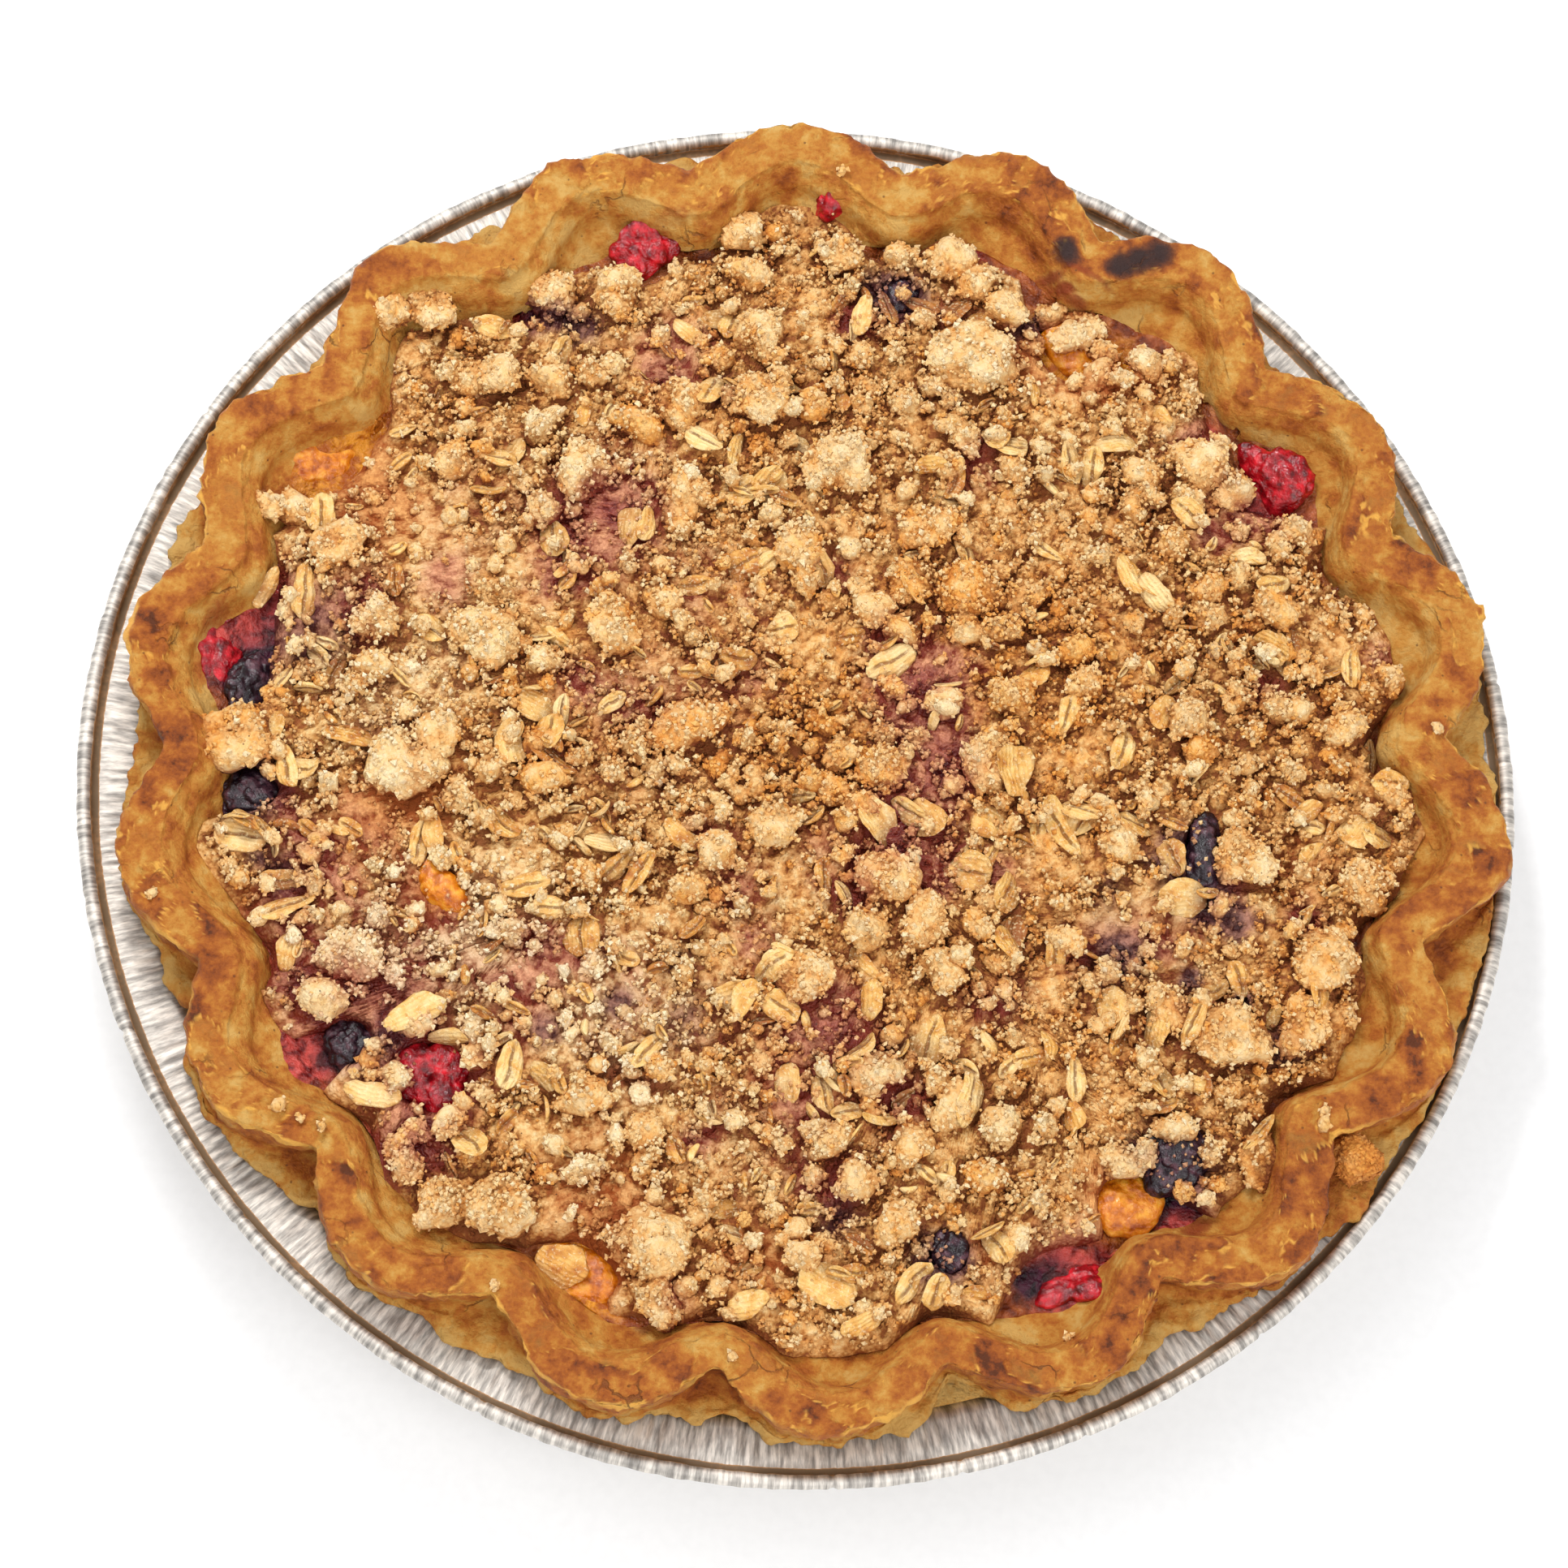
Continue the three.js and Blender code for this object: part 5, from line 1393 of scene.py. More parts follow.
MIDDLE_LUMPS = [
    (-62.5, 62, 7, 7, 5, 0, 0.4), (-73, -53, 9, 7.5, 5.5, 0, 0.25), (-28, -63, 9, 7, 5, 20, 0.5),
    (20, -52, 9, 8, 5, 0, 0.2), (28, -32, 9, 7, 4.5, 130, 0.4), (85, -56, 9, 7, 5.5, 100, 0.6),
    (33, 36, 9, 8, 5, 90, 0.5), (43, 28, 7, 6, 5, 0, 0.95), (-3, -12, 9, 8, 5, 0, 0.45),
    (100, 12, 7, 6, 5, 0, 0.5), (8, 30, 8, 7, 5, 0, 0.35), (12, 98, 9, 8, 5, 0, 0.4),
    (4, 97, 7, 6, 4.5, 0, 0.4), (17, 94, 8, 7, 5, 0, 0.3), (-25, 97, 8, 7, 5, 40, 0.35),
    (-23, 89, 8, 6, 5, 0, 0.6), (-7, 96, 8, 6, 5, 0, 0.4), (22, 90, 8, 7, 5, 0, 0.4),
    (-53, 63, 9, 7, 5, 0, 0.45), (-38, 57, 11, 6, 5, -10, 0.8), (-8, 66, 7, 6, 5, 0, 0.75),
    (80, 24, 9, 6, 5, 0, 0.4), (90, 22, 8, 7, 5.5, 0, 0.45), (76, 42, 9, 7, 5, -40, 0.6),
    (-92, 33, 9, 6, 5, -30, 0.3), (-84, 27, 9, 7, 5, 20, 0.35), (-97, 32, 7, 6, 4.5, 0, 0.3),
    (-74, 6, 8, 6, 5, 0, 0.3), (-42, -10, 8, 6, 5, 0, 0.7), (-12, -18, 8, 6, 4.5, -30, 0.45),
    (-16, -25, 7, 6, 4.5, 0, 0.5), (-33, -26, 6, 5, 4.5, 0, 0.6), (14, -27, 8, 7, 5, -20, 0.5),
    (14, -64, 9, 5, 5, 50, 0.35), (28, -62, 9, 7, 5, 90, 0.45), (19, -70, 7, 8, 5, 0, 0.4),
    (27, -76, 9, 7, 5, 80, 0.5), (12, -84, 7, 6, 4.5, 0, 0.4), (40, -66, 8, 6, 5, 0, 0.7),
    (42, -57, 7, 7, 5, 0, 0.25), (33, -55, 9, 8, 5, 60, 0.25), (62, -60, 8, 6, 5, 0, 0.3),
    (97, 33, 5, 6, 4.5, 0, 0.6), (66, 63, 7, 8, 5, 0, 0.4), (78, 57, 6, 6, 5, 0, 0.4),
    (57, 51, 7, 7, 4, 0, 0.5), (30, 30, 7, 5, 4.5, 0, 0.4), (45, 22, 6, 6, 4.5, 0, 0.6),
    (-61, -5, 9, 8, 5, 0, 0.25), (50, 63, 7, 6, 4.5, 0, 0.35), (-45.5, -59, 6.5, 5, 4, 30, 0.3),
    (-48, -71, 7, 4.5, 4, 60, 0.35), (-56.5, -55, 6, 4.5, 4, 0, 0.2), (-58.5, -65, 6, 5, 4, 40, 0.1),
    (-53, -73, 4.5, 4, 3.5, 0, 0.5), (70, -52.5, 7, 5, 4, 0, 0.25), (65.5, -58, 5.5, 4.5, 4, 50, 0.2),
    (73.5, -62.5, 4, 3.6, 3.2, 0, 0.9), (77, -55.5, 5, 4.5, 4, 0, 0.45),
    (36.5, 91, 9, 4.6, 3.4, 150, 0.1), (48, 84.5, 9, 5, 4, 140, 0.2), (31, 92, 7.5, 4.2, 3.4, 20, 0.15),
    (40, 80.5, 8, 5, 4, 60, 0.2), (28, 86, 6, 4, 3.4, 100, 0.3), (44, 80, 6, 3.6, 3.4, 0, 0.2),
    (35, 87.5, 8, 5.5, 3.6, 30, 0.15), (41, 86, 5, 4, 3, 0, 0.25),
]


def placed_lumps(entries, sink):
    rows = np.array(entries)
    places = np.array([settle(x, y, length, width, tall, turn, sink)
                       for x, y, length, width, tall, turn, _ in entries])
    return places, rows[:, 2:5], rows[:, 5], rows[:, 6]


random = np.random.default_rng(7)
lay_lumps("crumble_large_lumps", unit_ball(4), placed_lumps(LARGE_LUMPS, 0.30), random, 0.16, 2.6, 150,
          (0.7, 1.7))


# %% [markdown]
# ### Lumps that fell where they liked
# The rest are random but not careless. Each tries several places and takes the lowest ground, so that
# small lumps gather in hollows and few pile up. Wet, stained places get fewer, as there the crumble
# dissolved in juice.

# %% Lumps: scatter
def crumble_room(x, y, reach):
    """True where a piece of that reach lies on the crumble, clear of the rope. Only the smallest may lie
    on open fruit too."""
    angle, radius = polar_of(x, y)
    limit = 0.3 if reach > 0.6 else 1.1
    return (radius + reach < crumb_edge(angle)) & (fruit_well(x, y) < limit)


def open_places(random, count, reach, tries, shy):
    """x and y of many candidate places, tries for each of count pieces."""
    need = count * tries
    x, y = random.uniform(-104, 108, (2, 4 * need))
    wanted = crumble_room(x, y, reach)
    x, y = x[wanted], y[wanted]
    kept = random.uniform(0, 1, len(x)) > shy * wetness(np.stack([x, y, 0 * x], axis=-1))
    x, y = x[kept], y[kept]
    usable = min(count, len(x) // tries)
    return x[:usable * tries].reshape(usable, tries), y[:usable * tries].reshape(usable, tries)


def lowest_of(x, y, random, luck, off_oats=0):
    """Which of several places lies lowest, give or take some luck. Places on an oat count as higher."""
    stand = ground_at(x, y) - bed_height(x, y) + off_oats * oat_covered[map_cell(y), map_cell(x)]
    return int(np.argmin(stand + random.uniform(0, luck, len(x))))


def scattered_lumps(random, count, lengths, tries, sink, shy):
    x, y = open_places(random, count, lengths[1] * 0.4, tries, shy)
    count = len(x)
    spread = np.sort(random.uniform(0, 1, count))[::-1] ** 1.5
    length = mix(lengths[0], lengths[1], spread)
    width = length * random.uniform(0.6, 0.98, count)
    tall = length * random.uniform(0.48, 0.75, count)
    turn = random.uniform(0, 360, count)
    places = []
    for index in range(count):
        best = lowest_of(x[index], y[index], random, 1.2, 2.5)
        places.append(settle(x[index, best], y[index, best], length[index], width[index],
                             tall[index], turn[index], sink))
    places = np.array(places)
    toast = toast_at(places) + np.maximum(random.normal(0, 0.28, count), -0.25)
    return places, np.stack([length, width, tall], axis=-1), turn, toast


def joined_lots(*lots):
    return [np.concatenate(parts) for parts in zip(*lots)]


middle_lots = joined_lots(placed_lumps(MIDDLE_LUMPS, 0.28),
                          scattered_lumps(random, 100, (4.4, 8.0), 10, 0.28, 0.9))
lay_lumps("crumble_middle_lumps", unit_ball(3), middle_lots, random, 0.15, 2.0, 64, (0.6, 1.5))

# %% [markdown]
# ## Rolled oats
# An oat is steamed and rolled to a thin oval flake with a crease down the middle, a slightly curled
# rim and fine ridges. Here it is a disc of rings whose thickness, crease and curl are set point by
# point, so flakes look right from the side as well. Some lie flat and some stand on edge.

# %% Oats: form
FLAKE_ROUND = 20
FLAKE_REACH = 3.0
FLAKE_TRIES = 4
FLAKE_RINGS = (0.32, 0.60, 0.82, 0.95, 1.0, 0.88, 0.58, 0.28)
TOP_RINGS = 5


def flake_shapes(sizes, curls, random):
    """(points of each flake about its own middle, place across it in mm, where it can be creased, place
    from its middle to its rim)."""
    around = np.radians(np.arange(FLAKE_ROUND) * 360 / FLAKE_ROUND)
    share, turn = np.meshgrid(FLAKE_RINGS, around, indexing="ij")
    side = np.where(np.arange(len(FLAKE_RINGS)) < TOP_RINGS, 1, -1)
    side = np.repeat(side, FLAKE_ROUND)
    share, turn, side = np.append(share, [0, 0]), np.append(turn, [0, 0]), np.append(side, [1, -1])
    count = len(sizes)
    length, width = sizes[:, None, 0], sizes[:, None, 1]
    offsets = random.uniform(0, 900, (count, 1, 3))
    lean, waist, thick, bow = random.uniform(-1, 1, (4, count, 1))
    u, v = share * np.cos(turn), share * np.sin(turn)
    x = u * length / 2
    y = v * width / 2 * (1 - 0.18 * lean * u) * (1 - 0.12 * waist * np.cos(3 * turn + 5 * bow))
    flat = np.stack([x, y, 0 * x], axis=-1)
    ragged = 1 + 0.30 * share ** 3 * layered_noise(flat + offsets, 2.4, 3, 101)
    x, y = x * ragged, y * ragged
    across = y
    y = y + 0.35 * bow * (2 * x / length) ** 2
    creased = np.clip(3.5 - 4 * np.abs(u), 0, 1) * (waist > -0.4)
    dent = creased * np.exp(-(across / 0.5) ** 2)
    half = (0.42 + 0.16 * thick) * np.sqrt(np.clip(1.04 - share ** 2.6, 0.02, 1))
    z = side * half - 0.25 * dent * (side > 0)
    z = z + curls[:, None, 0] * (x / 3.5) ** 2 + curls[:, None, 1] * (y / 2.5) ** 2
    z = z + 0.38 * smooth_noise(flat + offsets, 2.8, 103)
    return np.stack([x, y, z], axis=-1), across, creased, np.broadcast_to(share, x.shape)


def flake_faces():
    """Three-cornered faces of a flake, all looking outwards: its rings, and a fan above and below."""
    quads = ring_faces(len(FLAKE_RINGS), FLAKE_ROUND)[:, ::-1]
    here = np.arange(FLAKE_ROUND)
    after = (here + 1) % FLAKE_ROUND
    last = (len(FLAKE_RINGS) - 1) * FLAKE_ROUND
    middle = len(FLAKE_RINGS) * FLAKE_ROUND
    return np.concatenate([quads[:, [1, 2, 3]], quads[:, [0, 1, 3]], fan(middle, here, after),
                           fan(middle + 1, last + after, last + here)])


# %% Oats: the clearest ones, placed one by one
# x, y, length, width, turn from the x direction, tilt, and how toasted.
CLEAR_FLAKES = [
    (-13, 50, 7, 6, 60, 12, 0.3), (-18, 48, 7, 6, 20, 10, 0.25), (-26, 80, 9, 4.5, -5, 15, 0.3),
    (-46, 3, 7.5, 6, -20, 14, 0.25), (-50, -3, 7, 6, 70, 18, 0.2), (-42, -6, 11, 4.5, -35, 12, 0.75),
    (-84, -15, 11, 4.5, 5, 10, 0.2), (-91, -27, 9, 7, 0, 8, 0.05), (-76, -7, 9, 4.5, -5, 14, 0.55),
    (-81, -38, 10, 3.5, 30, 20, 0.35), (-61, -23, 10, 4, 85, 16, 0.3), (-32, -36, 7.5, 6.5, 100, 16, 0.5),
    (-43, -29, 9, 4.5, 20, 14, 0.3), (-38, -32, 6.5, 4, 10, 18, 0.2), (-28, -23, 8, 3.5, 50, 22, 0.5),
    (-24, -24, 9, 3.5, 65, 24, 0.55), (-18, -16, 8, 4, -30, 14, 0.5), (-57, -54, 10, 5, 40, 14, 0.15),
    (-40, -60, 9, 4.5, 85, 18, 0.15), (-18, -54, 8.5, 3.5, 65, 24, 0.15), (-7, 24, 6, 5.5, 20, 10, 0.2),
    (12, 21, 9, 5.5, 40, 12, 0.1), (13.5, 35, 8.5, 3.8, -62, 22, 0.4), (37.5, 63, 8, 4, 110, 18, 0.15),
    (41.5, 63, 8, 4, 95, 20, 0.15), (27, 64, 6.5, 5, 0, 10, 0.1), (18, 52.5, 7, 4.5, 0, 14, 0.15),
    (43, 16, 8, 3.8, 80, 24, 0.3), (59, 57, 6.5, 4.5, -30, 14, 0.25), (35, 4, 10, 6.5, 110, 12, 0.35),
    (14, -8, 9.5, 6, -45, 12, 0.2), (22, -6, 7, 6, -60, 12, 0.4), (33, -5, 7, 6, -20, 14, 0.45),
    (44.5, -4, 11, 4.5, -50, 12, 0.3), (48, -2, 6, 4.5, 60, 14, 0.3), (57, -1, 8, 4.5, 0, 12, 0.3),
    (67, -12.5, 8.5, 7, 10, 10, 0.2), (37, -17, 7, 6, 70, 14, 0.35), (31, -14, 7, 6.5, 0, 10, 0.4),
    (91, -24, 10, 4.5, 100, 26, 0.5), (73, -28, 8, 3.5, 35, 24, 0.25), (57, -33, 7, 5.5, 90, 16, 0.35),
    (71, -34, 9, 4, 75, 22, 0.35), (65, -36, 9, 5, 85, 18, 0.3), (28, -44, 10, 7, 80, 14, 0.3),
    (15, -33, 9, 3, -42, 24, 0.45), (46.5, -26, 8, 3.5, 85, 26, 0.35), (36, -53, 10, 5, 80, 16, 0.2),
    (84, -51, 9, 3.5, 65, 26, 0.4), (52.5, -47, 8, 4, 95, 18, 0.1), (17, -88, 10, 7.5, -20, 12, 0.25),
    (5, -93, 8, 4.5, 30, 12, 0.25), (24, -93.5, 8, 3.5, 35, 20, 0.3), (31, -85, 9, 4, 60, 22, 0.25),
    (35, -86, 7, 4.5, 80, 16, 0.3), (94.5, 5, 7, 6, 60, 14, 0.3), (99, 14, 6.5, 4.5, 10, 20, 0.4),
    (95.5, 19, 8, 3.5, 95, 30, 0.3), (-88, 17, 10, 4.5, 95, 16, 0.3), (-95, 18, 8, 3, 85, 30, 0.35),
    (-66, 14, 6.5, 5, -30, 14, 0.35), (-48, 34, 7.5, 5, 110, 14, 0.35), (-35.5, 38, 7.5, 5, 100, 14, 0.3),
    (-58, 48, 8, 4, 60, 20, 0.25), (-20, 55, 8, 3, 85, 34, 0.3), (-2, 84, 8, 3.5, 80, 26, 0.2),
    (22, 43, 8, 3, -60, 30, 0.25), (24, 65, 6, 4.5, -40, 14, 0.2), (75, 46, 7, 4, 35, 16, 0.25),
    (-13, 35, 8, 5.5, 30, 12, 0.35), (90, 34, 8, 4, 95, 20, 0.3), (78, 34, 8, 3.5, -70, 24, 0.3),
    (-65, 72, 8, 4.5, -10, 18, 0.35), (-88, 32, 7.5, 5, 95, 14, 0.25), (28, -12, 6, 3, 60, 20, 0.2),
    (6, -55, 7, 4.5, 100, 16, 0.15), (12, -56, 8, 4, -70, 16, 0.2), (22, -59, 8, 2.5, 5, 30, 0.25),
    (-44, -74, 7.5, 5.5, -40, 14, 0.2), (-26, -91, 9, 7, -20, 12, 0.45),
    (-62, -68, 10, 4.5, -5, 12, 0.05),
]


def slope_at(x, y, reach):
    """The ground's rise in x and y over the reach of a flake."""
    east, west = ground_under(x + reach, y, reach / 2), ground_under(x - reach, y, reach / 2)
    north, south = ground_under(x, y + reach, reach / 2), ground_under(x, y - reach, reach / 2)
    return np.clip((east - west) / (2 * reach), -1, 1), np.clip((north - south) / (2 * reach), -1, 1)


def lay_flakes(entries, random):
    """Middle and three axes of each flake, laid along the ground and then tilted on one edge."""
    places, frames = [], []
    for x, y, length, width, turn, tilt, _ in entries:
        rise_x, rise_y = slope_at(x, y, 0.3 * width)
        up = np.array([-0.8 * rise_x, -0.8 * rise_y, 1.0])
        along = np.array([np.cos(np.radians(turn)), np.sin(np.radians(turn)), 0.0])
        up /= np.linalg.norm(up)
        along -= up * (along @ up)
        along /= np.linalg.norm(along)
        across = np.cross(up, along)
        lean = np.radians(tilt) * random.choice([-1, 1])
        across, up = (across * np.cos(lean) + up * np.sin(lean), up * np.cos(lean) - across * np.sin(lean))
        lift = 0.28 * width * abs(np.sin(lean)) + 0.25
        middle = ground_under(x, y, 0.22 * width) + lift
        places.append((x, y, middle))
        frames.append((along, across, up))
        stamp_dome(x, y, length, width, turn, middle + 0.3 * width * abs(np.sin(lean)) + 0.3, 0.6)
        rows, columns, inside = ellipse_patch(x, y, length, width, turn)
        oat_covered[rows, columns] |= inside > 0
    return np.array(places), np.array(frames)


def scattered_flakes(random, count, lengths, shares, tilts, shy):
    x, y = open_places(random, count, FLAKE_REACH, FLAKE_TRIES, shy)
    rows = []
    for index in range(len(x)):
        best = lowest_of(x[index], y[index], random, 2.5)
        length = random.uniform(*lengths)
        toast = random.normal(0.36, 0.26)
        rows.append((x[index, best], y[index, best], length, length * random.uniform(*shares),
                     random.uniform(0, 360), random.uniform(*tilts), toast))
    return rows


# %% Oats: material and pieces
def add_oat_lines(tree, vector, across, creased):
    """The crease down the middle of a flake and the fine ridges beside it, from 0 to 1. Both waver."""
    waver = add_node(tree, "TexNoise", {"Scale": per_mm(3.0), "Detail": 2.0}, vector)
    bent = add_node(tree, "Math", {"operation": "MULTIPLY_ADD", 1: 1.4, 2: -0.7}, [(0, waver)])
    place = add_node(tree, "Math", {"operation": "ADD"}, [(0, across), (1, bent)])
    aside = add_node(tree, "Math", {"operation": "ABSOLUTE"}, [(0, place)])
    line = add_node(tree, "MapRange", {"From Min": 0.08, "From Max": 0.34, "To Min": 1.0, "To Max": 0.0},
                    [("Value", aside)])
    crease = add_node(tree, "Math", {"operation": "MULTIPLY"}, [(0, line), (1, creased)])
    turns = add_node(tree, "Math", {"operation": "MULTIPLY", 1: 8.0}, [(0, place)])
    wave = add_node(tree, "Math", {"operation": "SINE"}, [(0, turns)])
    ridge = add_node(tree, "MapRange", {"From Min": -1.0}, [("Value", wave)])
    return crease, ridge


def oat_material():
    """Toasted rolled oats: a waxy, faintly glossy skin, cream to tan, with a darker crease, a browned
    rim and fine lengthwise ridges, dusted with flour and sugar."""
    material, tree, shader, vector = new_material("toasted_rolled_oats")
    read = {key: add_node(tree, "Attribute", {"attribute_name": key}).outputs["Fac"]
            for key in ("toast", "across", "creased", "rim", "peak", "berry", "plum", "amber")}
    read["crease"], read["ridge"] = add_oat_lines(tree, vector, read["across"], read["creased"])
    streak = add_node(tree, "TexNoise", {"Scale": per_mm(2.0), "Detail": 6.0}, vector)
    dust = add_node(tree, "TexNoise", {"Scale": per_mm(0.5), "Detail": 3.0}, vector)
    spread = add_node(tree, "Math", {"operation": "MULTIPLY_ADD", 1: 1.9, 2: -0.86}, [(0, streak)])
    heat = add_node(tree, "Math", {"operation": "ADD", "use_clamp": True},
                    [(0, read["toast"]), (1, spread)])
    colour = add_node(tree, "ValToRGB",
                      {"stops": [(0.0, "#F2D494"), (0.3, "#ECC070"), (0.6, "#D89C46"),
                                 (0.85, "#B8702A"), (1.0, "#94521C")]},
                      [("Fac", heat)])
    for key, strength, hex_code in (("ridge", 0.16, "#A8702E"), ("crease", 0.8, "#80481C"),
                                    ("rim", 0.6, "#B4722E"),
                                    ("amber", 0.7, "#B8702C"), ("berry", 0.7, "#9C5438"),
                                    ("plum", 0.7, "#6A3C3C")):
        share = add_node(tree, "Math", {"operation": "MULTIPLY", 1: strength}, [(0, read[key])])
        colour = add_node(tree, "Mix", {"data_type": "RGBA", 7: linear(hex_code)},
                          [(0, share), (6, colour)]).outputs[2]
    shade = add_node(tree, "MapRange", {"From Min": 0.1, "From Max": 0.5, "To Min": 0.55, "To Max": 0.0},
                     [("Value", read["peak"])])
    sugar = add_node(tree, "MapRange", {"From Min": 0.54, "From Max": 0.66, "To Max": 0.5},
                     [("Value", dust)])
    for share, hex_code in ((shade, "#8A5428"), (sugar, "#F6E0AE")):
        colour = add_node(tree, "Mix", {"data_type": "RGBA", 7: linear(hex_code)},
                          [(0, share), (6, colour)]).outputs[2]
    gloss = add_node(tree, "MapRange", {"To Min": 0.42, "To Max": 0.7}, [("Value", dust)])
    grooves = add_node(tree, "Math", {"operation": "MULTIPLY_ADD", 1: -0.3},
                       [(0, read["ridge"]), (2, dust)])
    height = add_node(tree, "Math", {"operation": "SUBTRACT"}, [(0, grooves), (1, read["crease"])])
    bump = add_node(tree, "Bump", {"Strength": 0.9, "Distance": 0.35 * MM}, [("Height", height)])
    set_up(tree, shader, {"Specular IOR Level": 0.4},
           [("Base Color", colour), ("Roughness", gloss), ("Normal", bump)])
    return material


def lay_oats(name, entries, material, random):
    rows = np.array(entries)
    places, frames = lay_flakes(entries, random)
    curls = random.normal(0.1, 0.35, (len(rows), 2))
    points, across, creased, rim = flake_shapes(rows[:, 2:4], curls, random)
    points = np.einsum("fpk,fkj->fpj", points, frames) + places[:, None]
    count, corners = points.shape[:2]
    values = {"toast": np.repeat(rows[:, 6], corners), "across": across.ravel(), "creased": creased.ravel(),
              "rim": rim.ravel() ** 5 * np.repeat(random.uniform(0, 1, count), corners)}
    faces = repeated(flake_faces(), count, corners)
    lay_down(name, points.reshape(-1, 3), [faces], material, values, 1.0, 0)


oat_entries = CLEAR_FLAKES + scattered_flakes(random, 110, (4.8, 8.0), (0.45, 0.75), (8, 40), 0.5)
oat_entries += scattered_flakes(random, 240, (2.6, 5.6), (0.32, 0.6), (10, 60), 0.5)
lay_oats("rolled_oat_flakes", oat_entries, oat_material(), random)

# %% [markdown]
# ## Small crumbs and grit
# The last sizes fill what is left. Small lumps and crumbs are rough balls with a few grains stuck on
# them, and grit is one angular grain of eight faces each. Grit lies in little heaps, and mostly keeps
# off the oats, from which it would roll, and off the wet fruit.

# %% Small lumps, crumbs and grit
def lay_grit(name, lot, random):
    """Joins loose grains into one piece."""
    places, sizes, toast = lot
    points = angular(sizes, random) + places[:, None]
    lay_down(name, points.reshape(-1, 3), [repeated(GRAIN_FACES, len(sizes), len(GRAIN))], crumble,
             {"toast": np.repeat(toast, len(GRAIN))}, 0.75, len(sizes) * len(GRAIN_FACES))


def lumps_on_oats(random, entries, share, lengths):
    """Small lumps baked onto one end of that share of the oats."""
    rows = np.array(entries)[random.uniform(0, 1, len(entries)) < share]
    count = len(rows)
    away = 0.42 * rows[:, 2] * random.choice([-1, 1], count)
    x = rows[:, 0] + away * np.cos(np.radians(rows[:, 4])) + random.normal(0, 0.6, count)
    y = rows[:, 1] + away * np.sin(np.radians(rows[:, 4])) + random.normal(0, 0.6, count)
    length = random.uniform(*lengths, count)
    sizes = length[:, None] * random.uniform(0.6, 1.0, (count, 3))
    turn = random.uniform(0, 360, count)
    places = np.array([settle(x[i], y[i], sizes[i, 0], sizes[i, 1], sizes[i, 2], turn[i], 0.35)
                       for i in range(count)])
    return places, sizes, turn, rows[:, 6] + random.normal(0, 0.2, count)


# Angle and radius about the crust's middle, and size, of crumbs that lie on the rope.
STRAY_CRUMBS = [(331.4, 105.1, 4.2), (224.1, 108.2, 4.0), (227.9, 105.1, 2.6), (202.2, 113.5, 2.4),
                (226.2, 106.8, 2.0), (332.4, 103.9, 2.6), (249.0, 106.5, 2.2), (140.5, 104.6, 2.6),
                (12.0, 106.0, 2.4), (271.0, 104.8, 2.2), (96.0, 108.4, 2.0), (301.0, 107.6, 2.2)]


def stray_crumbs(random):
    """Crumbs on the rope, like a lot of scattered lumps."""
    angle, radius, size = np.array(STRAY_CRUMBS).T
    places = polar(angle, radius, 0, CRUST_CENTRE)
    places[:, 2] = ground_at(places[:, 0], places[:, 1]) + 0.15 * size
    count = len(size)
    sizes = size[:, None] * random.uniform(0.6, 1.0, (count, 3))
    return places, sizes, random.uniform(0, 360, count), random.uniform(0.5, 1.1, count)


SHINY_FRUIT = ("strawberry", "mango")


def heaped(random, heaps, each, reach, sizes):
    """Grit in little heaps, as grains fall off one another: places, sizes and how toasted."""
    x, y = open_places(random, heaps, 0.5, 1, 0.75)
    count = len(x) * each
    apart = random.normal(0, 1, (2, count))
    x, y = np.repeat(x[:, 0], each) + reach * apart[0], np.repeat(y[:, 0], each) + reach * apart[1]
    size = random.uniform(*sizes, count)
    clear = crumble_room(x, y, 0.5)
    clear &= ~oat_covered[map_cell(y), map_cell(x)] | (random.uniform(0, 1, count) < 0.12)
    berry = fruit_well(x, y, ("dark_berry",))
    clear &= random.uniform(0, 1, count) > np.maximum(0.9 * fruit_well(x, y, SHINY_FRUIT), 0.6 * berry)
    x, y, size, apart = x[clear], y[clear], size[clear], apart[:, clear]
    piled = 0.7 * reach * np.exp(-(apart ** 2).sum(0)) * random.uniform(0, 1, len(x))
    places = np.stack([x, y, ground_at(x, y) + 0.12 * size + piled], axis=-1)
    return places, size, toast_at(places) + random.normal(0, GRAIN_TONES, len(x))


small_lots = joined_lots(lumps_on_oats(random, oat_entries, 0.45, (2.4, 4.4)),
                         scattered_lumps(random, 300, (2.6, 4.8), 8, 0.22, 0.8))
lay_lumps("crumble_small_lumps", unit_ball(2), small_lots, random, 0.16, 1.6, 18, (0.6, 1.3))
crumb_lot = joined_lots(scattered_lumps(random, 1300, (1.4, 2.8), 5, 0.2, 0.75), stray_crumbs(random))
lay_lumps("crumble_crumbs", unit_ball(1), crumb_lot, random, 0.2, 1.2, 8, (0.55, 1.1))
lay_grit("crumble_grit", heaped(random, 1800, 14, 1.7, (0.55, 1.2)), random)
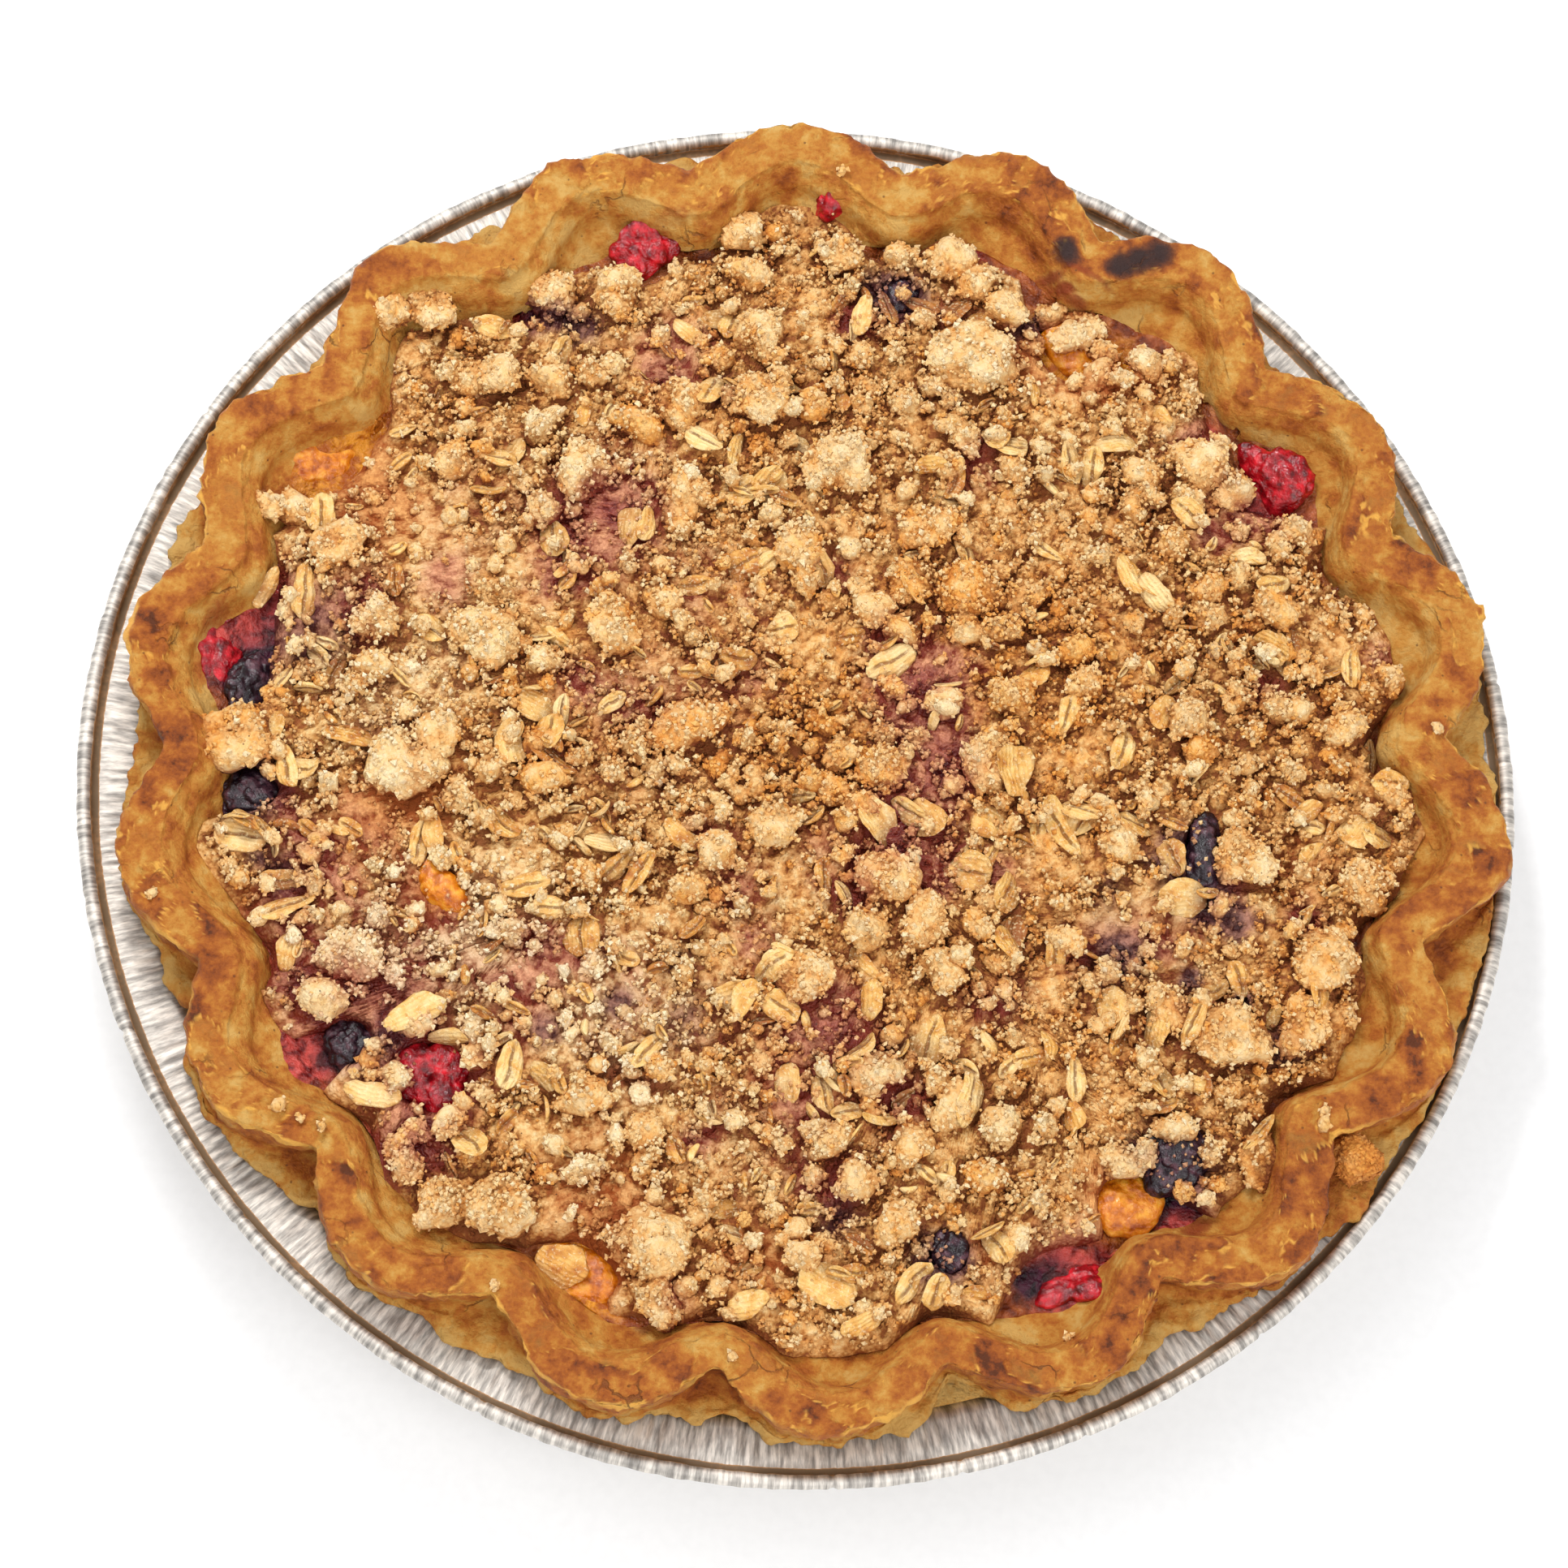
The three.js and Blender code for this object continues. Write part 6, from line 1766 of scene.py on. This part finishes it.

# %% [markdown]
# ## The pieces of the topping
# Now that all of it lies, the map is smoothed over two distances. A point that stands above the smoothed
# map is a tip, and one below it is in a crevice. The materials paint tips lighter and crevices darker,
# as painted light and painted shade. Juice is taken up from below, so the tips keep dry.

# %% Topping: how high each point stands
def blurred(field, reach):
    """Mean of a map over a square that goes so many mm each way."""
    cells = int(round(reach / MAP_STEP))
    weights = np.ones(2 * cells + 1) / (2 * cells + 1)
    for axis in (0, 1):
        field = np.apply_along_axis(np.convolve, axis, field, weights, mode="same")
    return field


def finish_topping():
    level = np.minimum(ground, 40.0)
    broad, near = blurred(level, 4.2), blurred(level, 1.2)
    steps = MAP_START + (np.arange(MAP_CELLS) + 0.5) * MAP_STEP
    across, along = np.meshgrid(steps, steps)
    juice = stains_at(np.stack([across, along, 0 * across], axis=-1))
    for name, points, faces, material, values, rise, facets, nodes in topping:
        cell = (map_cell(points[:, 1]), map_cell(points[:, 0]))
        # Over the smoothed map: lighter colour as painted light; below it: darker colour as painted shade.
        over = 0.20 * (points[:, 2] - broad[cell]) + 0.18 * (points[:, 2] - near[cell])
        values["peak"] = np.clip(values.get("peak", 0.65) + over, 0, 1)
        for kind, taken in juice.items():
            values[kind] = taken[cell] * (1 - rise * values["peak"])
        make_piece(name, points, faces, material, nodes, values, facets)


finish_topping()

# %% [markdown]
# ## A lump that fell on the brim
# One lump lies in the outer side of a notch, as in the photograph, in the place of its CAD node.

# %% Lump on the brim
def add_brim_lump(ball, faces):
    random = np.random.default_rng(5)
    cores = lump_cores(ball, np.array([[9.4, 7.6, 5.0]]), random, 0.15, 2.2)
    cores = cores + polar(331.5, 112.4, 33.5, CRUST_CENTRE)
    at, _ = places_on(cores, 150, random)
    grains = angular(random.uniform(0.7, 1.4, len(at)), random) + at[:, None]
    points = np.concatenate([cores[0], grains.reshape(-1, 3)])
    all_faces = np.concatenate([faces, repeated(GRAIN_FACES, len(at), len(GRAIN), len(ball))])
    height = (points[:, 2] - points[:, 2].min()) / np.ptp(points[:, 2])
    # Darker at the lump's foot and lighter on top: painted shade and painted light.
    values = {"toast": np.full(len(points), 0.95), "peak": 0.05 + 0.6 * height}
    values.update({kind: np.zeros(len(points)) for kind in STAIN_KINDS})
    make_piece("brim_lump_baked", points, [all_faces], crumble, ["brim_crumb"], values,
               len(at) * len(GRAIN_FACES))


add_brim_lump(*unit_ball(4))
